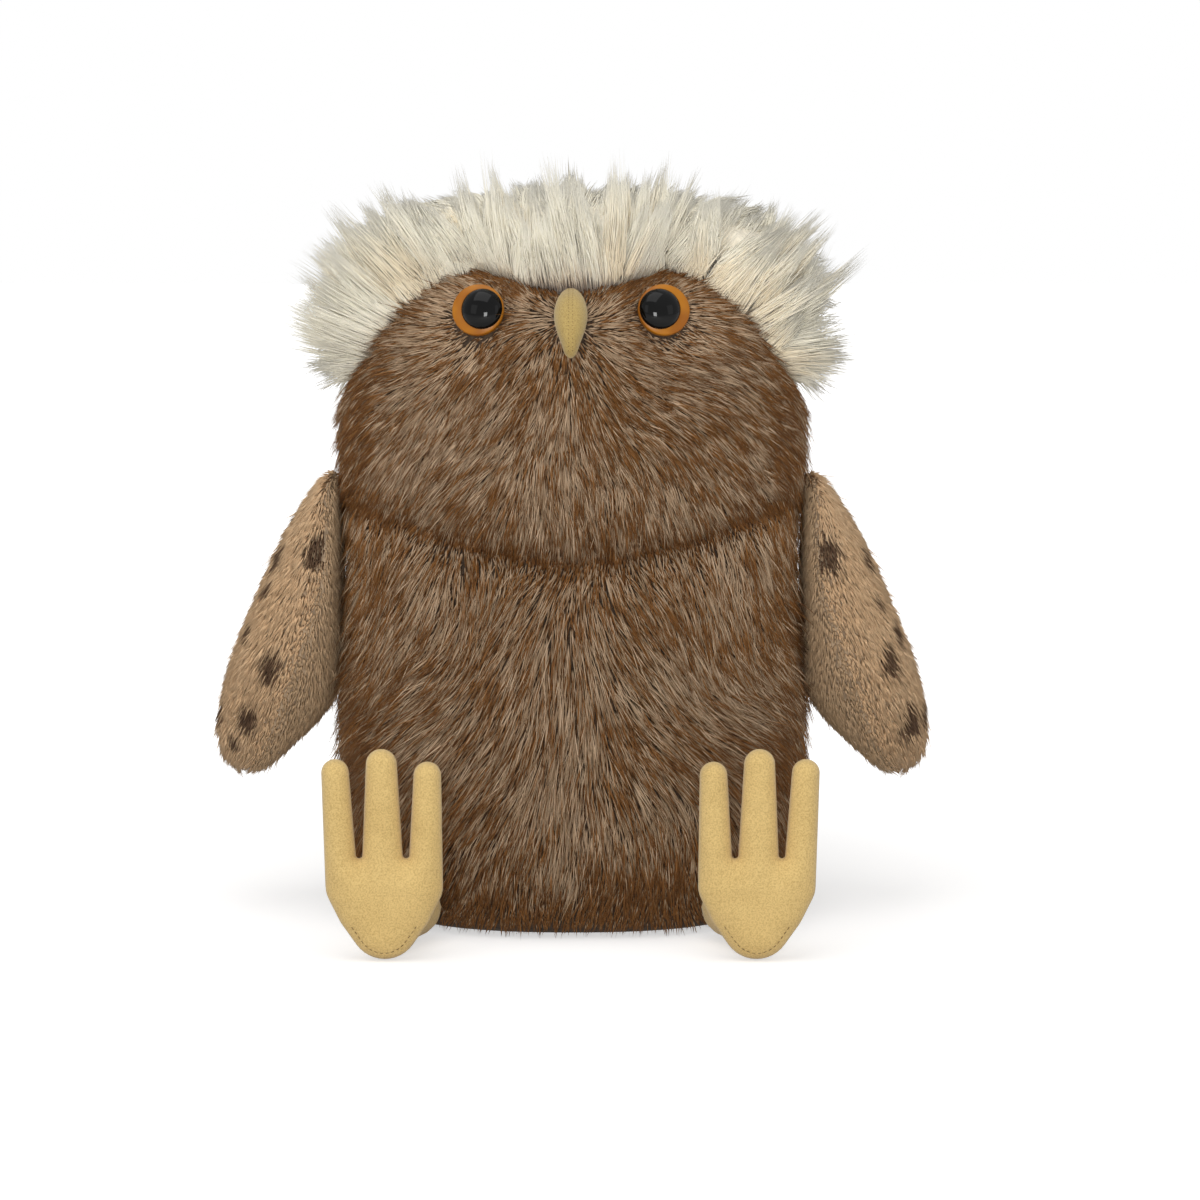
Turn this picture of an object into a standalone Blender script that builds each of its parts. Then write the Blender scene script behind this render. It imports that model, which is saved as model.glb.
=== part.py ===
# Sitting plush owl: brown long-pile bag on a weighted seat, white shaggy crown,
# two pillow wings hinged at the shoulders, two three-toed feet on short stuffed legs.
# Metres, +Z up. The toy faces -Y and its own left side is +X. The origin is the
# middle of the flat base. Every soft solid is drawn at the outside of its laid pile.

import math

import bmesh
import bpy
from mathutils import Vector
from mathutils.geometry import delaunay_2d_cdt

# Gaps between sewn pieces and between a skin and what fills it.
seam_gap = 0.0004
weld_share = 0.01
fill_gap = 0.0003
play = 0.0003
sharp_angle = math.radians(50)
wadding_slack = 0.0009

# Trunk: body and head are one bag, drawn by rings from the base to the top of the head.
trunk_height = 0.1985
trunk_half_width = 0.0700
trunk_front_depth = 0.0580
trunk_back_depth = 0.0600
trunk_squareness = 2.3
trunk_pile = 0.0040
base_cloth = 0.0030
# Height, half width, front depth and back depth of each ring.
trunk_ring_shares = (
    (0.000, 0.740, 0.690, 0.730),
    (0.018, 0.860, 0.820, 0.850),
    (0.075, 0.960, 0.925, 0.950),
    (0.180, 0.987, 0.985, 1.000),
    (0.312, 0.993, 1.000, 0.985),
    (0.450, 0.972, 0.970, 0.945),
    (0.548, 0.962, 0.915, 0.905),
    (0.630, 0.986, 0.945, 0.905),
    (0.705, 1.000, 0.940, 0.900),
    (0.785, 0.990, 0.920, 0.880),
    (0.860, 0.940, 0.882, 0.820),
    (0.920, 0.835, 0.818, 0.720),
    (0.962, 0.660, 0.700, 0.560),
    (0.988, 0.400, 0.470, 0.340),
    (0.998, 0.130, 0.160, 0.110),
)
base_seam_height = 0.0030
normal_step = 0.01
search_rounds = 40

# Chin: the seam between face and chest hangs in the middle and is drawn in.
chin_height = 0.1100
chin_rise = 0.0160
chin_rise_power = 1.3
chin_tuck = 0.0050
chin_tuck_reach = 0.0070
chin_tuck_side_share = 0.5

# Brow: the edge of the white crown, from the middle of the face to the side,
# then level round the back. Half width against height, both as shares of the trunk.
brow_seam_shares = (
    (0.000, 0.9530),
    (0.171, 0.9600),
    (0.400, 0.9800),
    (0.586, 0.9550),
    (0.729, 0.9140),
    (0.857, 0.8610),
    (0.921, 0.8370),
    (1.000, 0.8050),
)
nape_height = 0.1520

# Crown: the outside of its pile is a soft-cornered dome about the head. Each lock runs
# out from one point inside the head, and those at the back hang down a little.
crown_half_width = 0.0790
crown_front_depth = 0.0550
crown_back_depth = 0.0730
crown_middle_height = 0.1720
crown_rise = 0.0425
crown_plan_squareness = 2.4
crown_side_squareness = 3.4
crown_fan_point = (0.0, -0.0220, 0.1220)
crown_droop = 0.0120

# Sampling of the trunk: quarter turns from the face and heights along each panel.
front_turn_shares = (0, 0.09, 0.19, 0.30, 0.41, 0.50, 0.56, 0.61, 0.66, 0.72, 0.80, 0.90, 1)
back_turn_count = 8
chest_row_shares = (0, 0.05, 0.11, 0.19, 0.33, 0.50, 0.68, 0.82, 0.92, 1)
face_row_shares = (0, 0.08, 0.18, 0.32, 0.48, 0.64, 0.78, 0.90, 1)
back_row_shares = (0, 0.025, 0.055, 0.095, 0.17, 0.27, 0.38, 0.50, 0.62, 0.74, 0.87, 1)
crown_row_shares = (0, 0.25, 0.50, 0.75, 1)

# Filling: a pouch of beads in the seat, then wadding in the body and in the head.
pouch_height = 0.0300
pouch_row_count = 6

# Eyes: a moulded amber plate with a shank, a black dome on it and a washer behind.
eye_spread = 0.0267
eye_height = 0.1820
eye_yaw = math.radians(10)
eye_pitch = math.radians(16)
iris_radius = 0.0075
iris_rim = 0.0009
iris_rim_round_share = 0.5
iris_rim_edge_share = 0.7
iris_depth = 0.0024
pupil_radius = 0.0060
pupil_height = 0.0036
pupil_shift = 0.0006
shank_radius = 0.0020
shank_length = 0.0103
washer_radius = 0.0055
washer_thickness = 0.0012
washer_depth = 0.0082
eye_sides = 24
pupil_row_count = 6

# Beak: a small stuffed drop of suedette, sunk into the pile of the face.
beak_top_height = 0.1880
beak_length = 0.0190
beak_half_width = 0.0048
beak_half_depth = 0.0048
beak_reach = 0.0150
beak_cloth = 0.0009
beak_slant_share = 0.5
# Drop, reach, half width and half depth along the beak.
beak_ring_shares = (
    (0.00, 0.00, 0.30, 0.22),
    (0.06, 0.10, 0.62, 0.52),
    (0.20, 0.34, 0.92, 0.90),
    (0.38, 0.58, 1.00, 1.00),
    (0.58, 0.80, 0.88, 0.92),
    (0.78, 0.94, 0.64, 0.74),
    (0.93, 1.00, 0.42, 0.52),
    (1.00, 1.01, 0.16, 0.20),
)
beak_half_sides = 6

# Wings: long pillows hung from a short seam on the shoulder, above the chin's middle.
wing_length = 0.0915
wing_depth = 0.0270
wing_bulge = 0.0105
wing_lean = math.radians(20)
wing_shoulder_rise = 0.0190
wing_root_radius = 0.0022
wing_setback = 0.0020
wing_cloth = 0.0025
wing_body_clearance = 0.0003
wing_inset_share = 0.5
# Way along, outer bulge, seam line, inner side (shares of the outer bulge), half depth.
wing_ring_shares = (
    (-0.021, 0.12, 0.00, -0.12, 0.42),
    (0.000, 0.21, 0.00, -0.21, 0.52),
    (0.077, 0.44, -0.20, -0.47, 0.67),
    (0.220, 0.72, -0.62, -0.93, 0.84),
    (0.370, 0.86, -0.80, -1.42, 0.95),
    (0.520, 0.94, -0.84, -1.91, 1.00),
    (0.630, 0.98, -0.86, -2.16, 0.98),
    (0.720, 0.95, -0.86, -2.02, 0.91),
    (0.815, 0.85, -0.85, -1.66, 0.78),
    (0.905, 0.65, -0.80, -1.24, 0.60),
    (0.970, 0.30, -0.62, -0.90, 0.36),
    (1.000, -0.16, -0.40, -0.60, 0.12),
)
wing_outer_squareness = 2.2
wing_inner_squareness = 2.8
wing_half_sides = 8

# Feet: upright three-toed pillows of suedette, seen from the sole.
foot_height = 0.0600
foot_stand_ahead = 0.0785
foot_spread = 0.0525
foot_lift = 0.0002
foot_cloth = 0.0010
foot_half_thickness = 0.0052
toe_half_thickness = 0.0039
toe_edge_reach = 0.0039
palm_edge_reach = 0.0090
palm_grid_share = 0.48
foot_row_shares = (0.30, 0.72)
toe_swell_height = 0.0240
toe_swell_run = 0.0160
toe_tip_radius = 0.0039
crotch_radius = 0.0009
# Round corners of the sole in order: across, up (shares of the height), radius share
# of a toe tip, positive where the outline turns round the outside of the corner.
foot_corner_shares = (
    (0.000, 0.163, 2.50),
    (0.150, 0.350, 2.13),
    (0.227, 0.887, 1.00),
    (0.117, 0.497, -0.23),
    (0.010, 0.927, 1.12),
    (-0.103, 0.497, -0.23),
    (-0.205, 0.875, 1.00),
    (-0.150, 0.350, 2.13),
)
arc_step = math.radians(36)
foot_run_step = 0.0065

# Legs: short stuffed sleeves, round at the hip and at the ankle.
hip_radius = 0.0082
ankle_radius = 0.0072
hip_height = 0.0125
hip_turn = math.radians(36)
ankle_height = 0.0088
ankle_inset_share = 0.04
leg_cloth = 0.0010
leg_opening_share = 0.45
leg_sides = 12
leg_cap_rows = 3
leg_pole_share = 0.05

# Finish of each kind of cloth and plastic: colour, roughness.
finishes = {
    "brown_plush": ((0.165, 0.095, 0.052, 1.0), 0.9),
    "white_plush": ((0.760, 0.700, 0.590, 1.0), 0.9),
    "wing_plush": ((0.420, 0.290, 0.185, 1.0), 0.9),
    "wing_lining": ((0.330, 0.220, 0.140, 1.0), 0.9),
    "mustard_suedette": ((0.690, 0.490, 0.200, 1.0), 0.85),
    "amber_plastic": ((0.600, 0.210, 0.020, 1.0), 0.15),
    "black_plastic": ((0.008, 0.008, 0.008, 1.0), 0.05),
    "washer_plastic": ((0.800, 0.800, 0.780, 1.0), 0.4),
    "wadding": ((0.850, 0.850, 0.840, 1.0), 0.95),
    "pouch_cloth": ((0.550, 0.520, 0.460, 1.0), 0.9),
}


def clear_scene():
    for item in list(bpy.data.objects):
        bpy.data.objects.remove(item, do_unlink=True)


def material(name):
    found = bpy.data.materials.get(name)
    if found:
        return found
    colour, roughness = finishes[name]
    made = bpy.data.materials.new(name)
    made.use_nodes = True
    shader = made.node_tree.nodes["Principled BSDF"]
    shader.inputs["Base Color"].default_value = colour
    shader.inputs["Roughness"].default_value = roughness
    shader.inputs["Metallic"].default_value = 0.0
    return made


def add_object(name, mesh, finish, parent=None):
    mesh.materials.append(material(finish))
    made = bpy.data.objects.new(name, mesh)
    bpy.context.scene.collection.objects.link(made)
    made.parent = parent
    return made


def add_pivot(name, place):
    pivot = bpy.data.objects.new(name, None)
    pivot.location = place
    bpy.context.scene.collection.objects.link(pivot)
    return pivot


def finish_mesh(name, shape):
    bmesh.ops.remove_doubles(shape, verts=shape.verts, dist=seam_gap * weld_share)
    bmesh.ops.dissolve_degenerate(shape, edges=shape.edges, dist=seam_gap * weld_share)
    quads = [face for face in shape.faces if len(face.verts) == 4]
    bmesh.ops.triangulate(shape, faces=quads, quad_method="FIXED")
    bmesh.ops.recalc_face_normals(shape, faces=shape.faces)
    mesh = bpy.data.meshes.new(name)
    shape.to_mesh(mesh)
    shape.free()
    mesh.shade_smooth()
    mesh.set_sharp_from_angle(angle=sharp_angle)
    return mesh


def signed_power(value, power):
    return math.copysign(abs(value) ** power, value)


def blend(low, high, share):
    return low + (high - low) * share


def ease(share):
    share = min(max(share, 0.0), 1.0)
    return share * share * (3 - 2 * share)


# A smooth curve through the rows of a table, read at a fractional row number.
def row_at(table, place):
    last = len(table) - 1
    place = min(max(place, 0.0), float(last))
    start = min(int(place), last - 1)
    part = place - start
    before = table[max(start - 1, 0)]
    first = table[start]
    second = table[start + 1]
    after = table[min(start + 2, last)]
    values = []
    for a, b, c, d in zip(before, first, second, after):
        bend = (2 * a - 5 * b + 4 * c - d) * part + (3 * b - 3 * c + d - a) * part * part
        values.append(b + 0.5 * part * (c - a + bend))
    return values


# The fractional row at which the first column of a rising table reaches a value.
def place_of(table, value):
    low, high = 0.0, float(len(table) - 1)
    for _ in range(search_rounds):
        middle = 0.5 * (low + high)
        if row_at(table, middle)[0] < value:
            low = middle
        else:
            high = middle
    return 0.5 * (low + high)


def chin_line(turn):
    return chin_height + chin_rise * abs(math.sin(turn)) ** chin_rise_power


# A point of the trunk: turn 0 looks out of the face, place runs from base to head top.
def trunk_point(turn, place, inset=0.0):
    height, width, front, back = row_at(trunk_ring_shares, place)
    side, ahead = math.sin(turn), math.cos(turn)
    depth = trunk_front_depth * front if ahead > 0 else trunk_back_depth * back
    full_depth = trunk_front_depth if ahead > 0 else trunk_back_depth
    z = trunk_height * height
    power = 2 / trunk_squareness
    x = trunk_half_width * width * signed_power(side, power)
    y = -depth * signed_power(ahead, power)
    off = (z - chin_line(turn)) / chin_tuck_reach
    tuck = chin_tuck * math.exp(-off * off) * ease(ahead)
    y += tuck
    x -= math.copysign(tuck, x) * abs(side) * chin_tuck_side_share if abs(x) > tuck else 0.0
    x *= 1 - inset / trunk_half_width
    y *= 1 - inset / full_depth
    z = inset + z * (1 - 2 * inset / trunk_height)
    return Vector((x, y, z))


def trunk_normal(turn, place):
    step = normal_step
    last = len(trunk_ring_shares) - 1
    low, high = max(place - step, 0.0), min(place + step, last)
    across = trunk_point(turn + step, place) - trunk_point(turn - step, place)
    upward = trunk_point(turn, high) - trunk_point(turn, low)
    return across.cross(upward).normalized()


def trunk_place_at_height(height):
    return place_of(trunk_ring_shares, height / trunk_height)


def brow_height(x):
    share = min(abs(x) / trunk_half_width, 1.0)
    return trunk_height * row_at(brow_seam_shares, place_of(brow_seam_shares, share))[1]


# Where the crown seam crosses a given turn.
def brow_place(turn, shift=0.0):
    quarter = math.pi / 2
    if turn > quarter:
        side_height = trunk_point(quarter, brow_place(quarter)).z
        height = blend(side_height, nape_height, ease(turn / quarter - 1))
        return trunk_place_at_height(height + shift)
    low = trunk_place_at_height(chin_height + chin_rise)
    high = float(len(trunk_ring_shares) - 1)
    for _ in range(search_rounds):
        middle = 0.5 * (low + high)
        point = trunk_point(turn, middle)
        if point.z < brow_height(point.x) + shift:
            low = middle
        else:
            high = middle
    return 0.5 * (low + high)


def chin_place(turn, shift=0.0):
    return trunk_place_at_height(chin_line(turn) + shift)


def base_place(turn, shift=0.0):
    return trunk_place_at_height(base_seam_height + shift)


def head_top(turn=0.0, shift=0.0):
    return float(len(trunk_ring_shares) - 1)


def front_turns():
    return [math.pi / 2 * share for share in front_turn_shares]


def back_turns():
    steps = range(back_turn_count + 1)
    return [math.pi / 2 * (1 + step / back_turn_count) for step in steps]


# A closed ring: points of the left half from face to back, then their mirror images.
def whole_ring(point_at_turn):
    half = [point_at_turn(turn) for turn in front_turns() + back_turns()[1:]]
    return half + [Vector((-point.x, point.y, point.z)) for point in reversed(half[1:-1])]


# Quads between rows of points. Each begins at the corner from which it is later split,
# mirrored in the second half of a closed ring so that both halves fold alike.
def add_faces(shape, rows, closed):
    columns = len(rows[0])
    for low, high in zip(rows, rows[1:]):
        for start in range(columns if closed else columns - 1):
            end = (start + 1) % columns
            corners = [low[end], high[end], high[start], low[start]]
            if closed and start >= columns // 2:
                corners = [low[start], low[end], high[end], high[start]]
            shape.faces.new(corners)


# A sewn sheet with a thickness: outer and inner grids joined along the free edges.
def sheet_mesh(name, outer, inner, closed=False, capped=False):
    shape = bmesh.new()
    rows = [[shape.verts.new(point) for point in row] for row in outer]
    back = [[shape.verts.new(point) for point in row] for row in inner]
    add_faces(shape, rows, closed)
    add_faces(shape, back, closed)
    add_faces(shape, [rows[0], back[0]], closed)
    if capped:
        shape.faces.new(rows[-1])
        shape.faces.new(back[-1])
    else:
        add_faces(shape, [rows[-1], back[-1]], closed)
    if not closed:
        for edge in (0, -1):
            outside = [row[edge] for row in rows]
            inside = [row[edge] for row in back]
            add_faces(shape, [outside, inside], False)
    return finish_mesh(name, shape)


# A solid drawn by closed rings, each end closed by a fan from the middle of its ring.
def ring_solid_mesh(name, rings):
    shape = bmesh.new()
    rows = [[shape.verts.new(point) for point in ring] for ring in rings]
    add_faces(shape, rows, True)
    for row in (rows[0], rows[-1]):
        middle = shape.verts.new(sum((vert.co for vert in row), Vector()) / len(row))
        for start, end in zip(row, row[1:] + row[:1]):
            shape.faces.new((start, end, middle))
    return finish_mesh(name, shape)


# A panel of the trunk between two seams, kept half a seam gap inside its side edges.
def trunk_panel_mesh(name, side, turns, shares, low_seam, high_seam, is_front):
    half_gap = seam_gap / 2

    def grid(inset):
        rows = []
        for share in shares:
            row = []
            for turn in turns:
                low = low_seam(turn, half_gap)
                high = high_seam(turn, -half_gap)
                point = trunk_point(turn, blend(low, high, share), inset)
                point.x = side * max(point.x, half_gap)
                point.y = min(point.y, -half_gap) if is_front else max(point.y, half_gap)
                row.append(point)
            rows.append(row)
        return rows

    return sheet_mesh(name, grid(0.0), grid(trunk_pile))


def level_ring(place, inset):
    return whole_ring(lambda turn: trunk_point(turn, place, inset))


# A ring that keeps a share of the way between two seams at every turn.
def seam_ring(low_seam, high_seam, share, shift, inset):
    def point(turn):
        low = low_seam(turn, shift)
        high = high_seam(turn, -shift)
        return trunk_point(turn, blend(low, high, share), inset)

    return whole_ring(point)


# How far out a point is, as a share of the way to the crown's dome.
def crown_share(point):
    depth = crown_front_depth if point.y < 0 else crown_back_depth
    wide = abs(point.x / crown_half_width) ** crown_plan_squareness
    deep = abs(point.y / depth) ** crown_plan_squareness
    plan = (wide + deep) ** (crown_side_squareness / crown_plan_squareness)
    high = abs((point.z - crown_middle_height) / crown_rise) ** crown_side_squareness
    return plan + high


# The tip of the lock that grows from a point of the head.
def crown_tip(turn, place):
    fan = Vector(crown_fan_point)
    way = trunk_point(turn, place) - fan
    low, high = 1.0, 2.0
    for _ in range(search_rounds):
        middle = 0.5 * (low + high)
        if crown_share(fan + way * middle) < 1:
            low = middle
        else:
            high = middle
    tip = fan + way * low
    upright = min(max(way.normalized().z, 0.0), 1.0)
    tip.z -= crown_droop * ease(tip.y / crown_back_depth) * (1 - upright)
    return tip


def add_crown():
    half_gap = seam_gap / 2

    def tips(share):
        def point(turn):
            return crown_tip(turn, blend(brow_place(turn, half_gap), head_top(), share))

        return whole_ring(point)

    outer = [seam_ring(brow_place, head_top, 0.0, half_gap, 0.0)]
    inner = []
    for share in crown_row_shares:
        outer.append(tips(share))
        inner.append(seam_ring(brow_place, head_top, share, half_gap, trunk_pile))
    mesh = sheet_mesh("crown_panel", outer, inner, closed=True, capped=True)
    return add_object("crown_panel", mesh, "white_plush")


def add_trunk_skins():
    made = {}
    for side, word in ((1, "left"), (-1, "right")):
        name = f"face_{word}_panel"
        mesh = trunk_panel_mesh(
            name, side, front_turns(), face_row_shares, chin_place, brow_place, True)
        made[name] = add_object(name, mesh, "brown_plush")
        name = f"chest_{word}_panel"
        mesh = trunk_panel_mesh(
            name, side, front_turns(), chest_row_shares, base_place, chin_place, True)
        made[name] = add_object(name, mesh, "brown_plush")
        name = f"back_{word}_panel"
        mesh = trunk_panel_mesh(
            name, side, back_turns(), back_row_shares, base_place, brow_place, False)
        made[name] = add_object(name, mesh, "brown_plush")
    return made


def add_base():
    seam = base_place(0.0, -seam_gap / 2)
    places = [seam, seam / 2, 0.0]
    outer = [level_ring(place, 0.0) for place in places]
    inner = [level_ring(place, base_cloth) for place in places]
    mesh = sheet_mesh("base_panel", outer, inner, closed=True, capped=True)
    return add_object("base_panel", mesh, "brown_plush")


# Pouch and wadding lie a little slack inside the skins, in the same rows as they.
def add_fillings():
    inset = trunk_pile + wadding_slack
    half_gap = fill_gap / 2
    pouch_place = trunk_place_at_height(pouch_height)
    pouch = []
    for step in range(pouch_row_count + 1):
        share = step / pouch_row_count
        pouch.append(level_ring(pouch_place * share, inset))
    body = [level_ring(trunk_place_at_height(pouch_height + fill_gap), inset)]
    for share in chest_row_shares:
        ring = seam_ring(base_place, chin_place, share, half_gap, inset)
        if min(point.z for point in ring) > pouch_height + trunk_pile + fill_gap:
            body.append(ring)
    head = []
    for share in face_row_shares:
        head.append(seam_ring(chin_place, brow_place, share, half_gap, inset))
    for share in crown_row_shares[1:]:
        head.append(seam_ring(brow_place, head_top, share, half_gap, inset))
    pieces = []
    for name, rings, finish in (
            ("bean_pouch", pouch, "pouch_cloth"),
            ("body_stuffing", body, "wadding"),
            ("head_stuffing", head, "wadding")):
        pieces.append(add_object(name, ring_solid_mesh(name, rings), finish))
    return pieces[-1]


# The front surface of the trunk straight ahead of a point.
def front_surface(x, height):
    place = trunk_place_at_height(height)
    low, high = 0.0, math.pi / 2
    for _ in range(search_rounds):
        middle = 0.5 * (low + high)
        if trunk_point(middle, place).x < abs(x):
            low = middle
        else:
            high = middle
    point = trunk_point(low, place)
    return Vector((math.copysign(point.x, x), point.y, point.z))


# A turned solid about local Z from an outline of (radius, height) pairs.
def turned_mesh(name, outline, sides=eye_sides):
    shape = bmesh.new()
    rows = []
    for radius, height in outline:
        ring = []
        for step in range(sides):
            angle = 2 * math.pi * step / sides
            place = (radius * math.cos(angle), radius * math.sin(angle), height)
            ring.append(shape.verts.new(place))
        rows.append(ring)
    add_faces(shape, rows, True)
    if outline[0][0] > 0:
        shape.faces.new(rows[0])
        shape.faces.new(rows[-1])
    return finish_mesh(name, shape)


def turned_ring_mesh(name, inner_radius, outer_radius, low, high):
    shape = bmesh.new()
    corners = (
        (inner_radius, low), (outer_radius, low), (outer_radius, high), (inner_radius, high))
    rows = []
    for radius, height in corners:
        ring = []
        for step in range(eye_sides):
            angle = 2 * math.pi * step / eye_sides
            place = (radius * math.cos(angle), radius * math.sin(angle), height)
            ring.append(shape.verts.new(place))
        rows.append(ring)
    add_faces(shape, rows + [rows[0]], True)
    return finish_mesh(name, shape)


def hide_cutter(cutter):
    cutter.hide_render = True
    cutter.display_type = "WIRE"


def cut(target, cutter):
    modifier = target.modifiers.new(cutter.name, "BOOLEAN")
    modifier.operation = "DIFFERENCE"
    modifier.solver = "EXACT"
    modifier.object = cutter


# The amber plate with its shank, from the back of the shank to the bed of the dome.
def iris_outline():
    rounding = iris_rim * iris_rim_round_share
    bed_radius = pupil_radius + pupil_shift + play
    return (
        (shank_radius, -shank_length),
        (shank_radius, -iris_depth),
        (iris_radius - rounding, -iris_depth),
        (iris_radius, -iris_depth + rounding),
        (iris_radius, 0.0),
        (iris_radius - rounding, iris_rim * iris_rim_edge_share),
        (bed_radius, iris_rim),
        (bed_radius, 0.0),
    )


def pupil_outline():
    outline = []
    for step in range(pupil_row_count):
        angle = math.pi / 2 * step / pupil_row_count
        height = blend(play, pupil_height, math.sin(angle))
        outline.append((pupil_radius * math.cos(angle), height))
    return outline


# The seat cut into the face for the plate and its shank.
def seat_outline():
    return (
        (shank_radius + play, -shank_length - play),
        (shank_radius + play, -iris_depth - play),
        (iris_radius + play, -iris_depth - play),
        (iris_radius + play, pupil_height + trunk_pile),
    )


def add_cutter(name, mesh, target):
    cutter = add_object(name, mesh, "washer_plastic")
    hide_cutter(cutter)
    cut(target, cutter)
    return cutter


def add_eye(word, side, face_panel, head_stuffing):
    centre = front_surface(side * eye_spread, eye_height)
    facing = Vector((
        side * math.sin(eye_yaw) * math.cos(eye_pitch),
        -math.cos(eye_yaw) * math.cos(eye_pitch),
        math.sin(eye_pitch),
    ))
    rotation = facing.to_track_quat("Z", "Y").to_euler()

    iris = add_object(
        f"eye_{word}_iris", turned_mesh("iris", iris_outline()), "amber_plastic")
    pupil = add_object(
        f"eye_{word}_pupil", turned_mesh("pupil", pupil_outline()), "black_plastic")
    washer_mesh = turned_ring_mesh(
        "washer", shank_radius + play, washer_radius,
        -washer_depth - washer_thickness, -washer_depth)
    washer = add_object(f"eye_{word}_washer", washer_mesh, "washer_plastic")

    pocket_radius = washer_radius + play
    pocket = ((pocket_radius, -shank_length - play), (pocket_radius, pupil_height))
    seat_cutter = add_cutter(
        f"eye_{word}_seat_cutter", turned_mesh("seat_cutter", seat_outline()), face_panel)
    pocket_cutter = add_cutter(
        f"eye_{word}_pocket_cutter", turned_mesh("pocket_cutter", pocket), head_stuffing)

    for piece in (iris, pupil, washer, seat_cutter, pocket_cutter):
        piece.location = centre
        piece.rotation_euler = rotation
    pupil.location.x -= side * pupil_shift


# A point of the beak: angle 0 is the ridge that faces forward, 180 degrees its back.
def beak_point(angle, place, inset=0.0):
    drop, reach, width, depth = row_at(beak_ring_shares, place)
    root = front_surface(0.0, beak_top_height)
    narrow = 1 - inset / beak_half_width
    shorten = 1 - 2 * inset / beak_length
    ridge_y = root.y - beak_reach * reach
    ridge_z = beak_top_height - inset - beak_length * drop * shorten
    x = beak_half_width * width * narrow * math.sin(angle)
    slant = beak_slant_share * math.cos(angle)
    y = ridge_y - beak_half_depth * depth * narrow * math.cos(angle)
    z = ridge_z + beak_half_depth * depth * narrow * slant
    return Vector((x, y, z))


def add_beak(face_panels):
    places = [float(step) for step in range(len(beak_ring_shares))]
    half_turn = [math.pi * step / beak_half_sides for step in range(beak_half_sides + 1)]

    def half(side, inset):
        rows = []
        for place in places:
            row = []
            for angle in half_turn:
                point = beak_point(angle, place, inset)
                point.x = side * max(point.x, seam_gap / 2)
                row.append(point)
            rows.append(row)
        return rows

    def ring(place, inset):
        angles = half_turn + [-angle for angle in reversed(half_turn[1:-1])]
        return [beak_point(angle, place, inset) for angle in angles]

    for side, word in ((1, "left"), (-1, "right")):
        name = f"beak_{word}_panel"
        mesh = sheet_mesh(name, half(side, 0.0), half(side, beak_cloth))
        add_object(name, mesh, "mustard_suedette")
    core = [ring(place, beak_cloth + fill_gap) for place in places]
    add_object("beak_stuffing", ring_solid_mesh("beak_stuffing", core), "wadding")
    around = [ring(place, -play) for place in places]
    around_mesh = ring_solid_mesh("beak_cutter", around)
    cutter = add_cutter("beak_cutter", around_mesh, face_panels[0])
    cut(face_panels[1], cutter)


def wing_pivot(side):
    height = chin_height + wing_shoulder_rise
    shoulder = trunk_point(math.pi / 2, trunk_place_at_height(height))
    out = shoulder.x + wing_body_clearance + wing_root_radius
    return Vector((side * out, wing_setback, height))


# A point of the wing from its pivot: angles 0 to 180 run over the outer side from the
# front seam to the back seam, and 180 to 360 over the inner side.
def wing_point(side, angle, place, inset=0.0):
    along, outer, seam, inner, depth = row_at(wing_ring_shares, place)
    start = wing_ring_shares[0][0]
    full = wing_length * (1 - start)
    along = wing_length * start + inset + wing_length * (along - start) * (1 - 2 * inset / full)
    seam *= wing_bulge
    is_outer = math.sin(angle) >= 0
    bulge = (outer * wing_bulge - seam) if is_outer else (seam - inner * wing_bulge)
    squareness = wing_outer_squareness if is_outer else wing_inner_squareness
    power = 2 / squareness
    bulge *= 1 - inset / wing_bulge * wing_inset_share
    half_depth = wing_depth * depth * (1 - inset / wing_depth)
    across = seam + math.copysign(bulge, math.sin(angle)) * abs(math.sin(angle)) ** power
    y = -half_depth * signed_power(math.cos(angle), 2 / wing_outer_squareness)
    x = along * math.sin(wing_lean) + across * math.cos(wing_lean)
    z = -along * math.cos(wing_lean) + across * math.sin(wing_lean)
    return Vector((side * x, y, z))


def add_wing(word, side):
    pivot = add_pivot(f"wing_{word}_pivot", wing_pivot(side))
    places = [float(step) for step in range(len(wing_ring_shares))]
    steps = range(wing_half_sides + 1)
    outer_angles = [math.pi * step / wing_half_sides for step in steps]
    inner_angles = [math.pi * (1 + step / wing_half_sides) for step in steps]
    lift = Vector((side * math.cos(wing_lean), 0.0, math.sin(wing_lean))) * seam_gap / 2

    def grid(angles, inset, shift):
        return [[wing_point(side, angle, place, inset) + shift for angle in angles]
                for place in places]

    name = f"wing_{word}_outer_panel"
    mesh = sheet_mesh(name, grid(outer_angles, 0.0, lift), grid(outer_angles, wing_cloth, lift))
    add_object(name, mesh, "wing_plush", pivot)
    name = f"wing_{word}_inner_panel"
    mesh = sheet_mesh(
        name, grid(inner_angles, 0.0, -lift), grid(inner_angles, wing_cloth, -lift))
    add_object(name, mesh, "wing_lining", pivot)
    name = f"wing_{word}_stuffing"
    angles = outer_angles[:-1] + inner_angles[:-1]
    core = grid(angles, wing_cloth + fill_gap * 2, Vector((0.0, 0.0, 0.0)))
    add_object(name, ring_solid_mesh(name, core), "wadding", pivot)


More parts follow.
